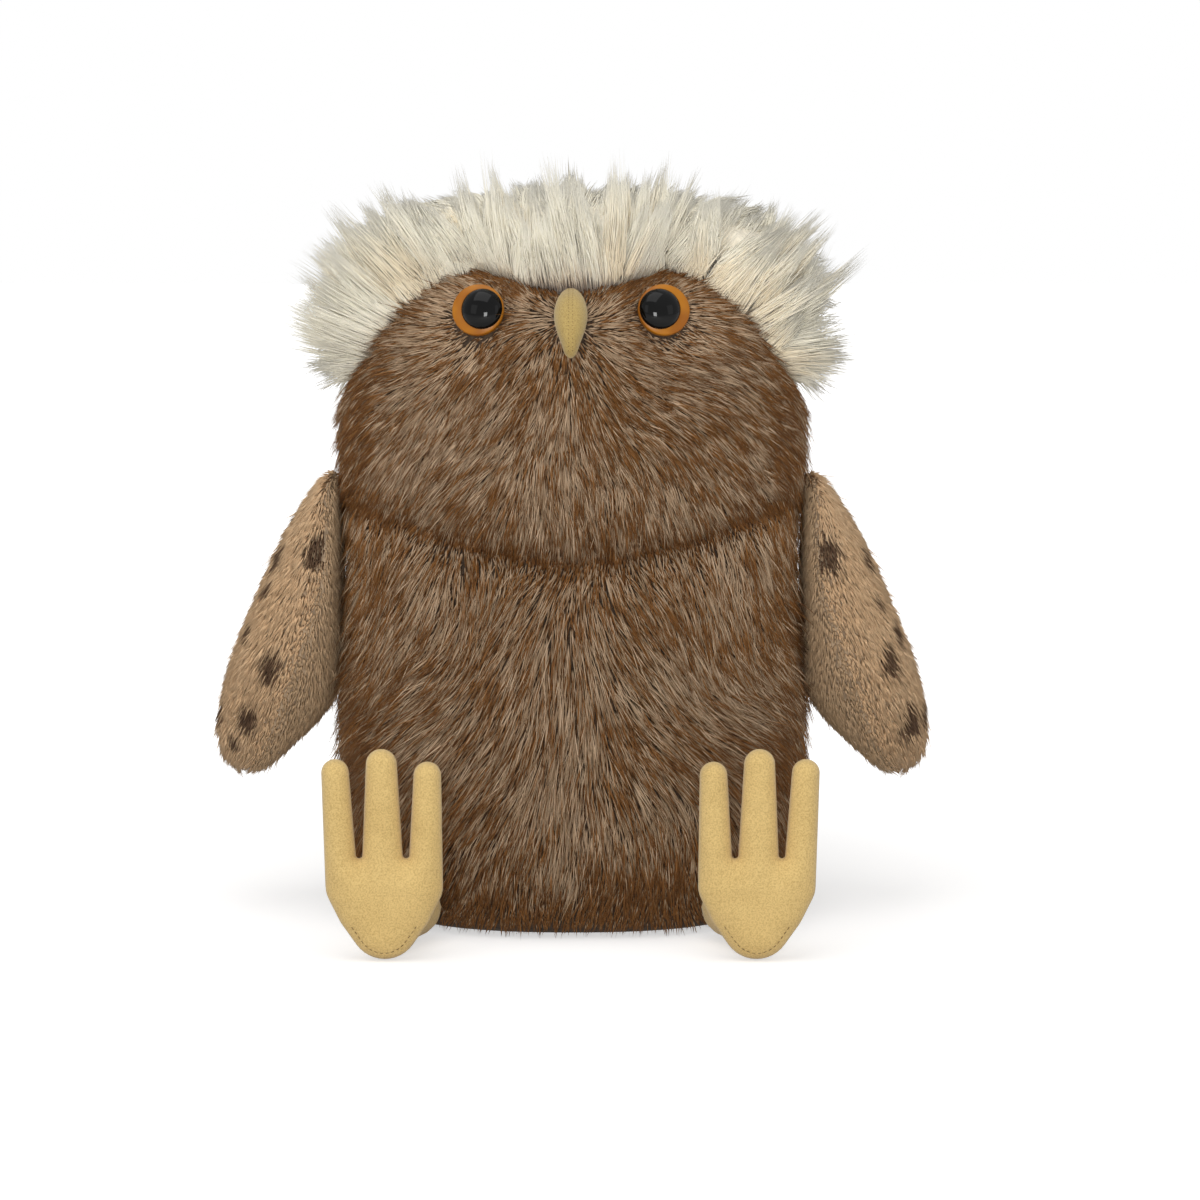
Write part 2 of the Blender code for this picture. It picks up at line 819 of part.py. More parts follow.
# The sole's outline as (point, outward normal) pairs: straight runs that just touch
# round corners, so that moving every point along its normal keeps the shape.
def sole_outline():
    corners = []
    for across, up, radius in foot_corner_shares:
        place = Vector((across * foot_height, up * foot_height))
        corners.append((place, radius * toe_tip_radius if radius > 0 else -crotch_radius))
    count = len(corners)
    directions = []
    for index in range(count):
        place, radius = corners[index]
        after, after_radius = corners[(index + 1) % count]
        run = after - place
        swing = math.asin((radius - after_radius) / run.length)
        directions.append(math.atan2(run.y, run.x) + swing)
    outline = []
    for index in range(count):
        place, radius = corners[index]
        begin = directions[index - 1] - math.pi / 2
        end = directions[index] - math.pi / 2
        change = (end - begin + math.pi) % (2 * math.pi) - math.pi
        if radius > 0 and change < 0:
            change += 2 * math.pi
        steps = max(1, round(abs(change) / arc_step))
        for step in range(steps + 1):
            angle = begin + change * step / steps
            normal = Vector((math.cos(angle), math.sin(angle)))
            outline.append((place + normal * radius, normal))
    spaced = []
    for index, (point, normal) in enumerate(outline):
        run = outline[(index + 1) % len(outline)][0] - point
        steps = max(1, int(run.length / foot_run_step))
        for step in range(steps):
            spaced.append((point + run * step / steps, normal))
    return spaced


def distance_to(outline_points, point):
    best = None
    count = len(outline_points)
    for index in range(count):
        start = outline_points[index]
        run = outline_points[(index + 1) % count] - start
        share = 0.0
        if run.length_squared > 0:
            share = min(max((point - start).dot(run) / run.length_squared, 0.0), 1.0)
        gap = (point - start - run * share).length
        best = gap if best is None else min(best, gap)
    return best


def is_inside(outline_points, point):
    inside = False
    count = len(outline_points)
    for index in range(count):
        a = outline_points[index]
        b = outline_points[(index + 1) % count]
        if (a.y > point.y) != (b.y > point.y):
            crossing = a.x + (b.x - a.x) * (point.y - a.y) / (b.y - a.y)
            if point.x < crossing:
                inside = not inside
    return inside


# Half the thickness of the foot over a point of the sole, full in the palm and
# slimmer in the toes, rounded down to nothing at the outline.
def sole_swell(point, gap, inset):
    palm = ease((toe_swell_height + toe_swell_run - point.y) / toe_swell_run)
    full = blend(toe_half_thickness, foot_half_thickness, palm) - inset
    reach = blend(toe_edge_reach, palm_edge_reach, palm) - inset
    rest = 1 - min(gap / reach, 1.0)
    return full * math.sqrt(max(1 - rest * rest, 0.0))


# Points and triangles of one side of the foot: the outline, two lines inside it
# and a grid over the palm.
def sole_net(inset):
    outline = sole_outline()
    edge = [point - normal * inset for point, normal in outline]
    points = list(edge)
    for depth in foot_row_shares:
        step = inset + (toe_tip_radius - inset) * depth
        points += [point - normal * step for point, normal in outline]
    pitch = palm_edge_reach * palm_grid_share
    reach = int(foot_height / pitch)
    for row in range(reach + 1):
        for column in range(-reach, reach + 1):
            shift = pitch / 2 if row % 2 else 0.0
            point = Vector((column * pitch + shift, row * pitch))
            if is_inside(edge, point) and distance_to(edge, point) > toe_tip_radius:
                points.append(point)
    count = len(edge)
    rim = [(index, (index + 1) % count) for index in range(count)]
    flat, _, triangles, sources, _, _ = delaunay_2d_cdt(
        points, rim, [], 1, seam_gap * weld_share)
    place_of_source = {}
    for place, numbers in enumerate(sources):
        for number in numbers:
            place_of_source[number] = place
    rim_places = [place_of_source[number] for number in range(count)]
    swell = [sole_swell(point, distance_to(edge, point), inset) for point in flat]
    return flat, swell, triangles, rim_places


def foot_side_verts(shape, side, net, facing, offset):
    flat, swell, triangles, _ = net
    verts = []
    for point, height in zip(flat, swell):
        place = (side * point.x, facing * (height + offset), point.y)
        verts.append(shape.verts.new(place))
    for corners in triangles:
        shape.faces.new([verts[corner] for corner in corners])
    return verts


def add_foot_side(name, side, nets, facing, pivot, offset):
    shape = bmesh.new()
    outer_net, inner_net = nets
    outer = foot_side_verts(shape, side, outer_net, facing, seam_gap / 2)
    inner = foot_side_verts(shape, side, inner_net, facing, seam_gap / 2)
    outer_rim = outer_net[3]
    inner_rim = inner_net[3]
    count = len(outer_rim)
    for index in range(count):
        after = (index + 1) % count
        corners = []
        for rim, verts, place in (
                (outer_rim, outer, index), (outer_rim, outer, after),
                (inner_rim, inner, after), (inner_rim, inner, index)):
            vert = verts[rim[place]]
            if vert not in corners:
                corners.append(vert)
        if len(corners) > 2:
            shape.faces.new(corners)
    for vert in shape.verts:
        vert.co += offset
    add_object(name, finish_mesh(name, shape), "mustard_suedette", pivot)


def add_foot(word, side, ankle, pivot):
    stand = Vector((side * foot_spread, -foot_stand_ahead, foot_lift)) - ankle
    outer_net = sole_net(0.0)
    inner_net = sole_net(foot_cloth)
    nets = (outer_net, inner_net)
    add_foot_side(f"foot_{word}_sole_panel", side, nets, -1, pivot, stand)
    add_foot_side(f"foot_{word}_back_panel", side, nets, 1, pivot, stand)
    core = sole_net(foot_cloth + fill_gap)
    shape = bmesh.new()
    for facing in (-1, 1):
        foot_side_verts(shape, side, core, facing, 0.0)
    for vert in shape.verts:
        vert.co += stand
    name = f"foot_{word}_stuffing"
    add_object(name, finish_mesh(name, shape), "wadding", pivot)


def hip_place(side):
    place = trunk_place_at_height(hip_height)
    skin = trunk_point(hip_turn, place)
    normal = trunk_normal(hip_turn, place)
    centre = skin + normal * (hip_radius + play)
    return Vector((side * centre.x, centre.y, centre.z))


def ankle_place(side):
    y = -foot_stand_ahead + foot_half_thickness + seam_gap / 2 + play + ankle_radius
    x = foot_spread - foot_height * ankle_inset_share
    return Vector((side * x, y, ankle_height))


# Rings of a round-ended sleeve from the hip to the ankle.
def leg_rings(start, end, inset, opening_share):
    axis = (end - start).normalized()
    across = axis.cross(Vector((0.0, 0.0, 1.0))).normalized()
    upward = across.cross(axis)
    first, last = hip_radius - inset, ankle_radius - inset
    rings = []
    spans = []
    opening = math.asin(opening_share)
    for step in range(leg_cap_rows + 1):
        angle = opening + (math.pi / 2 - opening) * step / leg_cap_rows
        spans.append((start - axis * first * math.cos(angle), first * math.sin(angle)))
    for step in range(leg_cap_rows + 1):
        angle = math.pi / 2 * step / leg_cap_rows
        radius = last * math.cos(angle)
        spans.append((end + axis * last * math.sin(angle), max(radius, last * leg_pole_share)))
    for centre, radius in spans:
        ring = []
        for step in range(leg_sides):
            angle = 2 * math.pi * step / leg_sides
            spoke = across * math.cos(angle) + upward * math.sin(angle)
            ring.append(centre + spoke * radius)
        rings.append(ring)
    return rings


def add_leg(word, side):
    hip = hip_place(side)
    ankle = ankle_place(side)
    hip_pivot = add_pivot(f"hip_{word}_pivot", hip)
    ankle_pivot = add_pivot(f"ankle_{word}_pivot", ankle - hip)
    ankle_pivot.parent = hip_pivot
    reach = ankle - hip
    origin = Vector((0.0, 0.0, 0.0))
    outer = leg_rings(origin, reach, 0.0, leg_opening_share)
    inner = leg_rings(origin, reach, leg_cloth, leg_opening_share)
    mesh = sheet_mesh(f"leg_{word}_sleeve", outer, inner, closed=True, capped=True)
    add_object(f"leg_{word}_sleeve", mesh, "mustard_suedette", hip_pivot)
    core = leg_rings(origin, reach, leg_cloth + fill_gap, leg_opening_share)
    mesh = ring_solid_mesh(f"leg_{word}_stuffing", core)
    add_object(f"leg_{word}_stuffing", mesh, "wadding", hip_pivot)
    add_foot(word, side, ankle, ankle_pivot)


def main():
    clear_scene()
    skins = add_trunk_skins()
    add_crown()
    add_base()
    head_stuffing = add_fillings()
    for word, side in (("left", 1), ("right", -1)):
        add_eye(word, side, skins[f"face_{word}_panel"], head_stuffing)
        add_wing(word, side)
        add_leg(word, side)
    add_beak((skins["face_left_panel"], skins["face_right_panel"]))
    bpy.context.view_layer.update()


main()
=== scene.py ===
import math

import bmesh
import bpy
import numpy as np
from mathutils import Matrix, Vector
from mathutils.bvhtree import BVHTree
from mathutils.geometry import delaunay_2d_cdt


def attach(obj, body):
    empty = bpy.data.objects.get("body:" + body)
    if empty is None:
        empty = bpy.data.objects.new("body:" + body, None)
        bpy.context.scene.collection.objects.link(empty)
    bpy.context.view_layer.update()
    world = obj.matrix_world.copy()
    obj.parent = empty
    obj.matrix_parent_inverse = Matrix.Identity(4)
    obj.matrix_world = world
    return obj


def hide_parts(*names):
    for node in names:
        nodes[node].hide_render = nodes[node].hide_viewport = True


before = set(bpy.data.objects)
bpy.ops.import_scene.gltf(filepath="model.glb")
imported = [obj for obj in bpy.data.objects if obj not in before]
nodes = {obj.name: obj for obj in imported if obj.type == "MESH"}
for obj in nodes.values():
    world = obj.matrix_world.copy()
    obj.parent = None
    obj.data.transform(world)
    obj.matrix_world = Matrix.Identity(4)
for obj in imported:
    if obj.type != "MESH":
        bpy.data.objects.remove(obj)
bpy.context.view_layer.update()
sides = {"left": 1, "right": -1}  # the toy's own; its left is at plus x
print("frame loaded:", len(nodes), "nodes")


def unit(vectors):
    lengths = np.linalg.norm(vectors, axis=-1, keepdims=True)
    return vectors / np.maximum(lengths, 1e-9)


def ease(value):
    value = np.clip(value, 0.0, 1.0)
    return value * value * (3 - 2 * value)


def blend(low, high, share):
    return low + (high - low) * share


# 1 at zero, fading to nothing over the given width on both sides.
def bell(value, width):
    return np.exp(-(value / width) ** 2)


# From a least share at zero up to 1 over the given reach.
def rising(value, least, reach):
    return blend(least, 1.0, ease(value / reach))


def signedPower(value, power):
    return np.sign(value) * np.abs(value) ** power


def mirrored(vectors):
    return vectors * np.array((-1.0, 1.0, 1.0))


# Lengths run along a line of points, from its first point.
def travelAlong(line):
    return np.concatenate([[0], np.cumsum(np.linalg.norm(np.diff(line, axis=0), axis=1))])


# Smooth random swirls over a surface, from a few waves in fixed directions.
def swirl(points, size, seed):
    maker = np.random.default_rng(seed)
    total = np.zeros(points.shape[:-1])
    waves = 7
    for _ in range(waves):
        way = maker.normal(size=3)
        way *= 2 * math.pi / size / np.linalg.norm(way) * maker.uniform(0.6, 1.4)
        total += np.sin(points @ way + maker.uniform(0, 2 * math.pi))
    return total / math.sqrt(waves)


# A smooth curve through the rows of a table, read at fractional row numbers.
def rowAt(table, place):
    rows = np.array(table)
    last = len(rows) - 1
    place = np.clip(place, 0.0, last)
    start = np.minimum(place.astype(int), last - 1)
    part = (place - start)[..., None]
    before, first = rows[np.maximum(start - 1, 0)], rows[start]
    second, after = rows[start + 1], rows[np.minimum(start + 2, last)]
    bend = (2 * before - 5 * first + 4 * second - after) * part
    bend += (3 * first - 3 * second + after - before) * part * part
    return first + 0.5 * part * (second - before + bend)


def linkObject(name, data):
    made = bpy.data.objects.new(name, data)
    bpy.context.scene.collection.objects.link(made)
    return made


def meshFrom(name, points, faces, edges=()):
    mesh = bpy.data.meshes.new(name)
    mesh.from_pydata([tuple(point) for point in points], edges, faces)
    mesh.update()
    return mesh


# A smooth closed form with its faces turned outwards.
def closedMesh(name, points, faces):
    mesh = meshFrom(name, points, faces)
    shape = bmesh.new()
    shape.from_mesh(mesh)
    bmesh.ops.recalc_face_normals(shape, faces=shape.faces)
    shape.to_mesh(mesh)
    shape.free()
    mesh.shade_smooth()
    return mesh


def gridFaces(rows, columns, flipped):
    faces = []
    for row in range(rows - 1):
        for column in range(columns - 1):
            corner = row * columns + column
            face = (corner, corner + 1, corner + columns + 1, corner + columns)
            faces.append(face[::-1] if flipped else face)
    return faces


# Rings of points joined into one closed form, with a fan to a point at either end.
def closedRings(name, rings, ends=None):
    rings = np.asarray(rings)
    count, around = rings.shape[:2]
    if ends is None:
        ends = (rings[0].mean(0), rings[-1].mean(0))
    points = np.concatenate([rings.reshape(-1, 3), np.array(ends)])
    faces = []
    for row in range(count - 1):
        for column in range(around):
            after = (column + 1) % around
            low, high = row * around, (row + 1) * around
            faces.append((low + column, low + after, high + after, high + column))
    last = (count - 1) * around
    for column in range(around):
        after = (column + 1) % around
        faces.append((len(points) - 2, after, column))
        faces.append((len(points) - 1, last + column, last + after))
    return closedMesh(name, points, faces)


# Values on a mesh's points, from arrays in the shape of its grid or single numbers.
def storeValues(mesh, **values):
    for name, value in values.items():
        isVector = np.ndim(value) == 3
        layer = mesh.attributes.new(name, "FLOAT_VECTOR" if isVector else "FLOAT", "POINT")
        flat = np.ravel(value) if isVector else np.ravel(value) * np.ones(len(mesh.vertices))
        layer.data.foreach_set("vector" if isVector else "value", flat.astype(np.float32))


# Links a finished mesh with its material, and says its body and what it replaces.
def addPiece(name, mesh, material, body, replaced=()):
    if material:
        mesh.materials.append(material)
    made = linkObject(name, mesh)
    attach(made, body)
    if replaced:
        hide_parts(*replaced)


# A number or vector in a node tree that can be added and multiplied like a Python value.
class Field:
    def __init__(self, tree, socket, isVector=False):
        self.tree = tree
        self.socket = socket
        self.isVector = isVector

    def join(self, operation, other):
        asVector = self.isVector or isinstance(other, Field) and other.isVector
        return (vectorOf if asVector else mathOf)(self.tree, operation, self, other)

    def __add__(self, other):
        return self.join("ADD", other)

    def __sub__(self, other):
        return self.join("SUBTRACT", other)

    def __mul__(self, other):
        if not self.isVector and not (isinstance(other, Field) and other.isVector):
            return self.join("MULTIPLY", other)
        vector, factor = (self, other) if self.isVector else (other, self)
        node = addNode(self.tree, "ShaderNodeVectorMath", {0: vector, "Scale": factor}, operation="SCALE")
        return Field(self.tree, node.outputs[0], True)

    def __rsub__(self, other):
        return self * -1.0 + other

    __radd__ = __add__
    __rmul__ = __mul__

    def over(self, other):
        return self.join("DIVIDE", other)

    def part(self, axis):
        return Field(self.tree, addNode(self.tree, "ShaderNodeSeparateXYZ", {0: self}).outputs[axis])


def feed(socket, value):
    if isinstance(value, Field):
        value = value.socket
    if isinstance(value, bpy.types.NodeSocket):
        socket.node.id_data.links.new(value, socket)
    elif value is not None:
        socket.default_value = value


def addNode(tree, kind, fed=None, **settings):
    node = tree.nodes.new(kind)
    for key, value in settings.items():
        setattr(node, key, value)
    for key, value in (fed or {}).items():
        feed(node.inputs[key], value)
    return node


def mathOf(tree, operation, first, second=None):
    node = addNode(tree, "ShaderNodeMath", {0: first, 1: second}, operation=operation)
    return Field(tree, node.outputs[0])


def vectorOf(tree, operation, first, second=None):
    node = addNode(tree, "ShaderNodeVectorMath", {0: first, 1: second}, operation=operation)
    isNumber = operation in ("DOT_PRODUCT", "LENGTH")
    return Field(tree, node.outputs["Value" if isNumber else "Vector"], not isNumber)


def combined(tree, x, y, z):
    return Field(tree, addNode(tree, "ShaderNodeCombineXYZ", {0: x, 1: y, 2: z}).outputs[0], True)


def smoothStep(tree, value, low, high):
    node = addNode(
        tree, "ShaderNodeMapRange", {"Value": value, "From Min": low, "From Max": high},
        interpolation_type="SMOOTHSTEP")
    return Field(tree, node.outputs["Result"])


def smoothFall(tree, value, low, high):
    return smoothStep(tree, value * -1.0, -high, -low)


def mixColour(tree, share, first, second):
    node = addNode(tree, "ShaderNodeMix", {"Factor": share, 6: first, 7: second}, data_type="RGBA")
    return Field(tree, node.outputs[2])


# A tree with named inputs and outputs, each with its value or the kind of its socket.
def newTree(name, kind, inputs, outputs):
    tree = bpy.data.node_groups.new(name, kind)
    kinds = {float: "Float", int: "Int", tuple: "Vector"}
    for way, sockets in (("INPUT", inputs), ("OUTPUT", outputs)):
        for label, value in sockets.items():
            word = kinds.get(type(value), value)
            made = tree.interface.new_socket(name=label, in_out=way, socket_type="NodeSocket" + word)
            if word != value:
                made.default_value = value
    return tree, addNode(tree, "NodeGroupInput").outputs, addNode(tree, "NodeGroupOutput").inputs


# The trunk: one bag, as wide and deep as the part's, in rings from base to head top.
trunk = {
    "height": 0.1985,
    "halfWidth": 0.0700,
    "frontDepth": 0.0580,
    "backDepth": 0.0600,
    "squareness": 2.3,
    "pile": 0.0036,
    "baseReach": 0.0120,
    "chinHeight": 0.1100,
    "chinRise": 0.0160,
    "chinPower": 1.3,
    "chinTuck": 0.0050,
    "chinReach": 0.0070,
    "chinPinch": 0.5,
    "napeHeight": 0.1520,
    "seamHeight": 0.0030,
    "samples": 2000,
    "skinColumns": 61,
    "skinRows": (4, 40, 26, 22),
    "fill": 0.8,
    # Height, width, front depth and back depth, as shares of the whole.
    "rings": (
        (0.000, 0.740, 0.690, 0.730),
        (0.018, 0.860, 0.820, 0.850),
        (0.075, 0.960, 0.925, 0.950),
        (0.180, 0.987, 0.985, 1.000),
        (0.312, 0.993, 1.000, 0.985),
        (0.450, 0.972, 0.970, 0.945),
        (0.548, 0.962, 0.915, 0.905),
        (0.630, 0.986, 0.945, 0.905),
        (0.705, 1.000, 0.940, 0.900),
        (0.785, 0.990, 0.920, 0.880),
        (0.860, 0.940, 0.882, 0.820),
        (0.920, 0.835, 0.818, 0.720),
        (0.962, 0.660, 0.700, 0.560),
        (0.988, 0.400, 0.470, 0.340),
        (0.998, 0.130, 0.160, 0.110),
    ),
    # The brow line from the middle to the side: across and up, as shares.
    "brow": (
        (0.000, 0.9530),
        (0.171, 0.9600),
        (0.400, 0.9800),
        (0.586, 0.9550),
        (0.729, 0.9140),
        (0.857, 0.8610),
        (0.921, 0.8370),
        (1.000, 0.8050),
    ),
}
samplePlaces = np.linspace(0, len(trunk["rings"]) - 1, trunk["samples"])
sampleHeights = rowAt(trunk["rings"], samplePlaces)[..., 0] * trunk["height"]
topPlace = samplePlaces[-1]


def placeAtHeight(height):
    return np.interp(height, sampleHeights, samplePlaces)


def chinLine(turn):
    return trunk["chinHeight"] + trunk["chinRise"] * np.abs(np.sin(turn)) ** trunk["chinPower"]


# Points of the trunk's left half: turn 0 looks out of the face, half a turn out of the back.
def trunkPoints(turn, place, inset=0.0):
    turn, place, inset = np.broadcast_arrays(turn, place, inset)
    height, width, front, back = np.moveaxis(rowAt(trunk["rings"], place), -1, 0)
    side, ahead = np.sin(turn), np.cos(turn)
    isFront = ahead > 0
    depth = np.where(isFront, trunk["frontDepth"] * front, trunk["backDepth"] * back)
    fullDepth = np.where(isFront, trunk["frontDepth"], trunk["backDepth"])
    z = trunk["height"] * height
    power = 2 / trunk["squareness"]
    x = trunk["halfWidth"] * width * signedPower(side, power)
    y = -depth * signedPower(ahead, power)
    tuck = trunk["chinTuck"] * bell(z - chinLine(turn), trunk["chinReach"]) * ease(ahead)
    y = (y + tuck) * (1 - inset / fullDepth)
    x = (x - np.where(x > tuck, tuck * side * trunk["chinPinch"], 0.0)) * (1 - inset / trunk["halfWidth"])
    z = inset + z * (1 - 2 * inset / trunk["height"])
    return np.stack([x, y, z], -1)


# The skin lies under the trunk's surface by the depth of the dense pile.
def skinPoints(turn, place):
    height = np.interp(place, samplePlaces, sampleHeights)
    return trunkPoints(turn, place, trunk["pile"] * ease(height / trunk["baseReach"]))


def browPlace(turn):
    if turn > math.pi / 2:
        side = trunkPoints(math.pi / 2, browPlace(math.pi / 2))[2]
        share = ease(turn / (math.pi / 2) - 1)
        return placeAtHeight(blend(side, trunk["napeHeight"], share))
    places = samplePlaces[samplePlaces > placeAtHeight(trunk["chinHeight"])]
    line = trunkPoints(turn, places)
    browTable = np.array(trunk["brow"])
    curve = rowAt(browTable, np.linspace(0, len(browTable) - 1, 400))
    brow = np.interp(line[:, 0] / trunk["halfWidth"], curve[:, 0], curve[:, 1])
    return places[np.argmax(line[:, 2] >= brow * trunk["height"])]


def seamAtFloor(turn):
    return 0.0


def seamAtBase(turn):
    return placeAtHeight(trunk["seamHeight"])


def seamAtChin(turn):
    return placeAtHeight(chinLine(turn))


def seamAtTop(turn):
    return topPlace


# A grid over one part of the trunk between two seams, with the frame of its surface.
def trunkGrid(lowSeam, highSeam, turns, rows):
    share = np.linspace(0, 1, rows)[:, None]
    low = np.array([lowSeam(turn) for turn in turns])
    high = np.array([highSeam(turn) for turn in turns])
    place = blend(low[None, :], high[None, :], share)
    turn = np.broadcast_to(turns, place.shape)
    step = 0.01
    across = skinPoints(turn + step, place) - skinPoints(turn - step, place)
    upward = skinPoints(turn, np.minimum(place + step, topPlace))
    upward = upward - skinPoints(turn, np.maximum(place - step, 0.0))
    across, upward = unit(across), unit(upward)
    return {
        "points": skinPoints(turn, place),
        "across": across,
        "upward": upward,
        "normal": unit(np.cross(across, upward)),
        "turn": turn,
        "share": np.broadcast_to(share, place.shape),
    }


# The crown's form above the brow line, where its hair stands, lies back or hangs, and its
# cream patches and rust tint.
crown = {
    "halfWidth": 0.0790,
    "frontDepth": 0.0550,
    "backDepth": 0.0730,
    "middleHeight": 0.1720,
    "rise": 0.0425,
    "planSquareness": 2.4,
    "sideSquareness": 3.4,
    "fanPoint": (0.0, -0.0220, 0.1220),
    "droop": 0.0120,
    "woolFill": 0.72,
    "woolRise": 0.36,
    "topFill": 0.84,
    "rootShare": 0.60,
    "coatRootShare": 0.96,
    "coatLength": 0.0122,
    "coatWay": (0.9, 1.0, -0.6),
    "coatAngle": math.radians(34),
    "topFrom": 0.35,
    "topSpan": 0.30,
    "behindFrom": 0.40 * math.pi,
    "behindSpan": 0.20 * math.pi,
    "sideTrim": 0.14,
    "sideTrimPower": 6,
    "hang": 0.75,
    "hangFrom": 0.30 * math.pi,
    "hangSpan": 0.15 * math.pi,
    "hangShare": 0.22,
    "patchSize": 0.022,
    "patchSeed": 21,
    "coatPatchLoss": 0.6,
    "browTint": 0.8,
    "browTintWidth": 0.012,
    "browTintRise": 0.10,
    "skinRows": 40,
}


# Where the crown's hair lies back over the head instead of standing up: its top and back.
def coatShare(share, turn):
    high = ease((share - crown["topFrom"]) / crown["topSpan"])
    behind = ease((turn - crown["behindFrom"]) / crown["behindSpan"])
    return np.maximum(high, behind)


# How much of the crown's depth is packed wool: none at the brow line, most under the coat.
def woolShare(share, turn):
    fill = blend(crown["woolFill"], crown["topFill"], coatShare(share, turn))
    return fill * ease(share / crown["woolRise"])


# The way from points of the skin to the crown's outside, along rays from the fan point.
def crownReach(points):
    fan = np.array(crown["fanPoint"])
    ways = points - fan
    low, high = np.ones(points.shape[:-1]), np.full(points.shape[:-1], 2.0)
    for _ in range(40):
        middle = 0.5 * (low + high)
        at = fan + ways * middle[..., None]
        depth = np.where(at[..., 1] < 0, crown["frontDepth"], crown["backDepth"])
        plan = np.abs(at[..., 0] / crown["halfWidth"]) ** crown["planSquareness"]
        plan = plan + np.abs(at[..., 1] / depth) ** crown["planSquareness"]
        rise = np.abs((at[..., 2] - crown["middleHeight"]) / crown["rise"])
        reach = plan ** (crown["sideSquareness"] / crown["planSquareness"])
        inside = reach + rise ** crown["sideSquareness"] < 1
        low, high = np.where(inside, middle, low), np.where(inside, high, middle)
    tips = fan + ways * low[..., None]
    upright = np.clip(unit(ways)[..., 2], 0, 1)
    tips[..., 2] -= crown["droop"] * ease(tips[..., 1] / crown["backDepth"]) * (1 - upright)
    return tips - points


# Colours of the pile, as linear values, and how they run along a strand. Fades, rises and
# falls say from where to where; a roughness is its start and what a strand's tone adds.
pile = {
    # The brown under the pile is set darker than its grey-beige cloth, as painted shade under the pile.
    "shadedUnderBrown": (0.086, 0.054, 0.032, 1.0),
    "underWhite": (0.92, 0.84, 0.68, 1.0),
    "underTan": (0.50, 0.36, 0.23, 1.0),
    # Shares of the under-pile colour kept in the gaps between its threads: painted shade there.
    "brownGapShade": 0.55,
    "whiteGapShade": 0.85,
    "underGrain": 900.0,
    "underDepth": 0.0008,
    "underStretch": (1.0, 1.0, 0.25),
    "underRise": (0.35, 0.65),
    "underRoughness": 0.95,
    "greyRootAndShade": (0.300, 0.195, 0.115, 1.0),
    "greyPale": (0.680, 0.500, 0.335, 1.0),
    "greyDeep": (0.390, 0.260, 0.150, 1.0),
    "rustPale": (0.325, 0.146, 0.042, 1.0),
    "rustDeep": (0.158, 0.062, 0.014, 1.0),
    "whiteRoot": (0.94, 0.82, 0.61, 1.0),
    "whiteTip": (0.98, 0.93, 0.78, 1.0),
    "cream": (0.95, 0.82, 0.59, 1.0),
    "tanRoot": (0.66, 0.440, 0.250, 1.0),
    "tanTip": (0.75, 0.530, 0.325, 1.0),
    "spot": (0.070, 0.032, 0.016, 1.0),
    "greyFade": (0.05, 0.45),
    "whiteFade": (0.0, 0.45),
    "tanFade": (0.0, 0.7),
    "tanEven": 0.20,
    "tipStart": 0.28,
    "tipSpan": 1.00,
    "tipBlur": 0.10,
    "creamRise": (0.62, 0.95),
    "creamFall": (0.35, 1.0),
    "tintFall": (0.0, 0.55),
    "creamTone": 0.35,
    "creamAmount": 0.8,
    "spotRise": (0.40, 0.75),
    "spotRagged": 0.7,
    "spotAmount": 0.92,
    "brownRoughness": (0.62, 0.2),
    "whiteRoughness": (0.55, 0.2),
    "tanRoughness": (0.7, 0.15),
    "shine": 0.25,
    "whiteSheen": 0.35,
}


# Fine grain, built once for all materials: a noise value and the bump that it makes.
def makeGrainGroup():
    group, given, result = newTree("grain", "ShaderNodeTree", {
        "Scale": 100.0, "Detail": 3.0, "Distance": 0.001, "Strength": 1.0, "Stretch": (1.0, 1.0, 1.0),
    }, {"Value": "Float", "Normal": "Vector"})
    place = addNode(group, "ShaderNodeTexCoord").outputs["Object"]
    mapping = addNode(group, "ShaderNodeMapping", {"Vector": place, "Scale": given["Stretch"]})
    noise = addNode(group, "ShaderNodeTexNoise", {
        "Vector": mapping.outputs["Vector"], "Scale": given["Scale"], "Detail": given["Detail"]})
    bump = addNode(group, "ShaderNodeBump", {
        "Distance": given["Distance"], "Strength": given["Strength"], "Height": noise.outputs["Fac"]})
    feed(result["Value"], noise.outputs["Fac"])
    feed(result["Normal"], bump.outputs["Normal"])
    return group


# A strand's colour from root to tip, built once for all kinds of pile.
def makeFadeGroup():
    group, given, result = newTree("rootToTip", "ShaderNodeTree", {
        "Along": 0.0, "From": 0.0, "To": 1.0, "Amount": 1.0, "Root": "Color", "Tip": "Color",
    }, {"Colour": "Color"})
    share = smoothStep(group, given["Along"], given["From"], given["To"]) * given["Amount"]
    feed(result["Colour"], mixColour(group, share, given["Root"], given["Tip"]))
    return group


grainGroup = makeGrainGroup()
fadeGroup = makeFadeGroup()


# Places the grain group; with a distance its bump goes to the shader.
def addGrain(tree, shader, scale, detail, distance=0.0, strength=1.0, stretch=(1.0, 1.0, 1.0)):
    node = addNode(tree, "ShaderNodeGroup", node_tree=grainGroup)
    for socket, value in zip(node.inputs, (scale, detail, distance, strength, stretch)):
        socket.default_value = value
    if distance:
        feed(shader.inputs["Normal"], node.outputs["Normal"])
    return Field(tree, node.outputs["Value"])


def fadeColour(tree, along, fade, root, tip, amount=1.0):
    node = addNode(tree, "ShaderNodeGroup", node_tree=fadeGroup)
    for socket, value in zip(node.inputs, (along, *fade, amount, root, tip)):
        feed(socket, value)
    return Field(tree, node.outputs["Colour"])


def newMaterial(name):
    made = bpy.data.materials.new(name)
    made.use_nodes = True
    return made, made.node_tree, made.node_tree.nodes["Principled BSDF"]


def setShader(shader, colour, roughness, shine=None, sheen=None):
    feed(shader.inputs["Base Color"], colour)
    feed(shader.inputs["Roughness"], roughness)
    feed(shader.inputs["Specular IOR Level"], shine)
    feed(shader.inputs["Sheen Weight"], sheen)


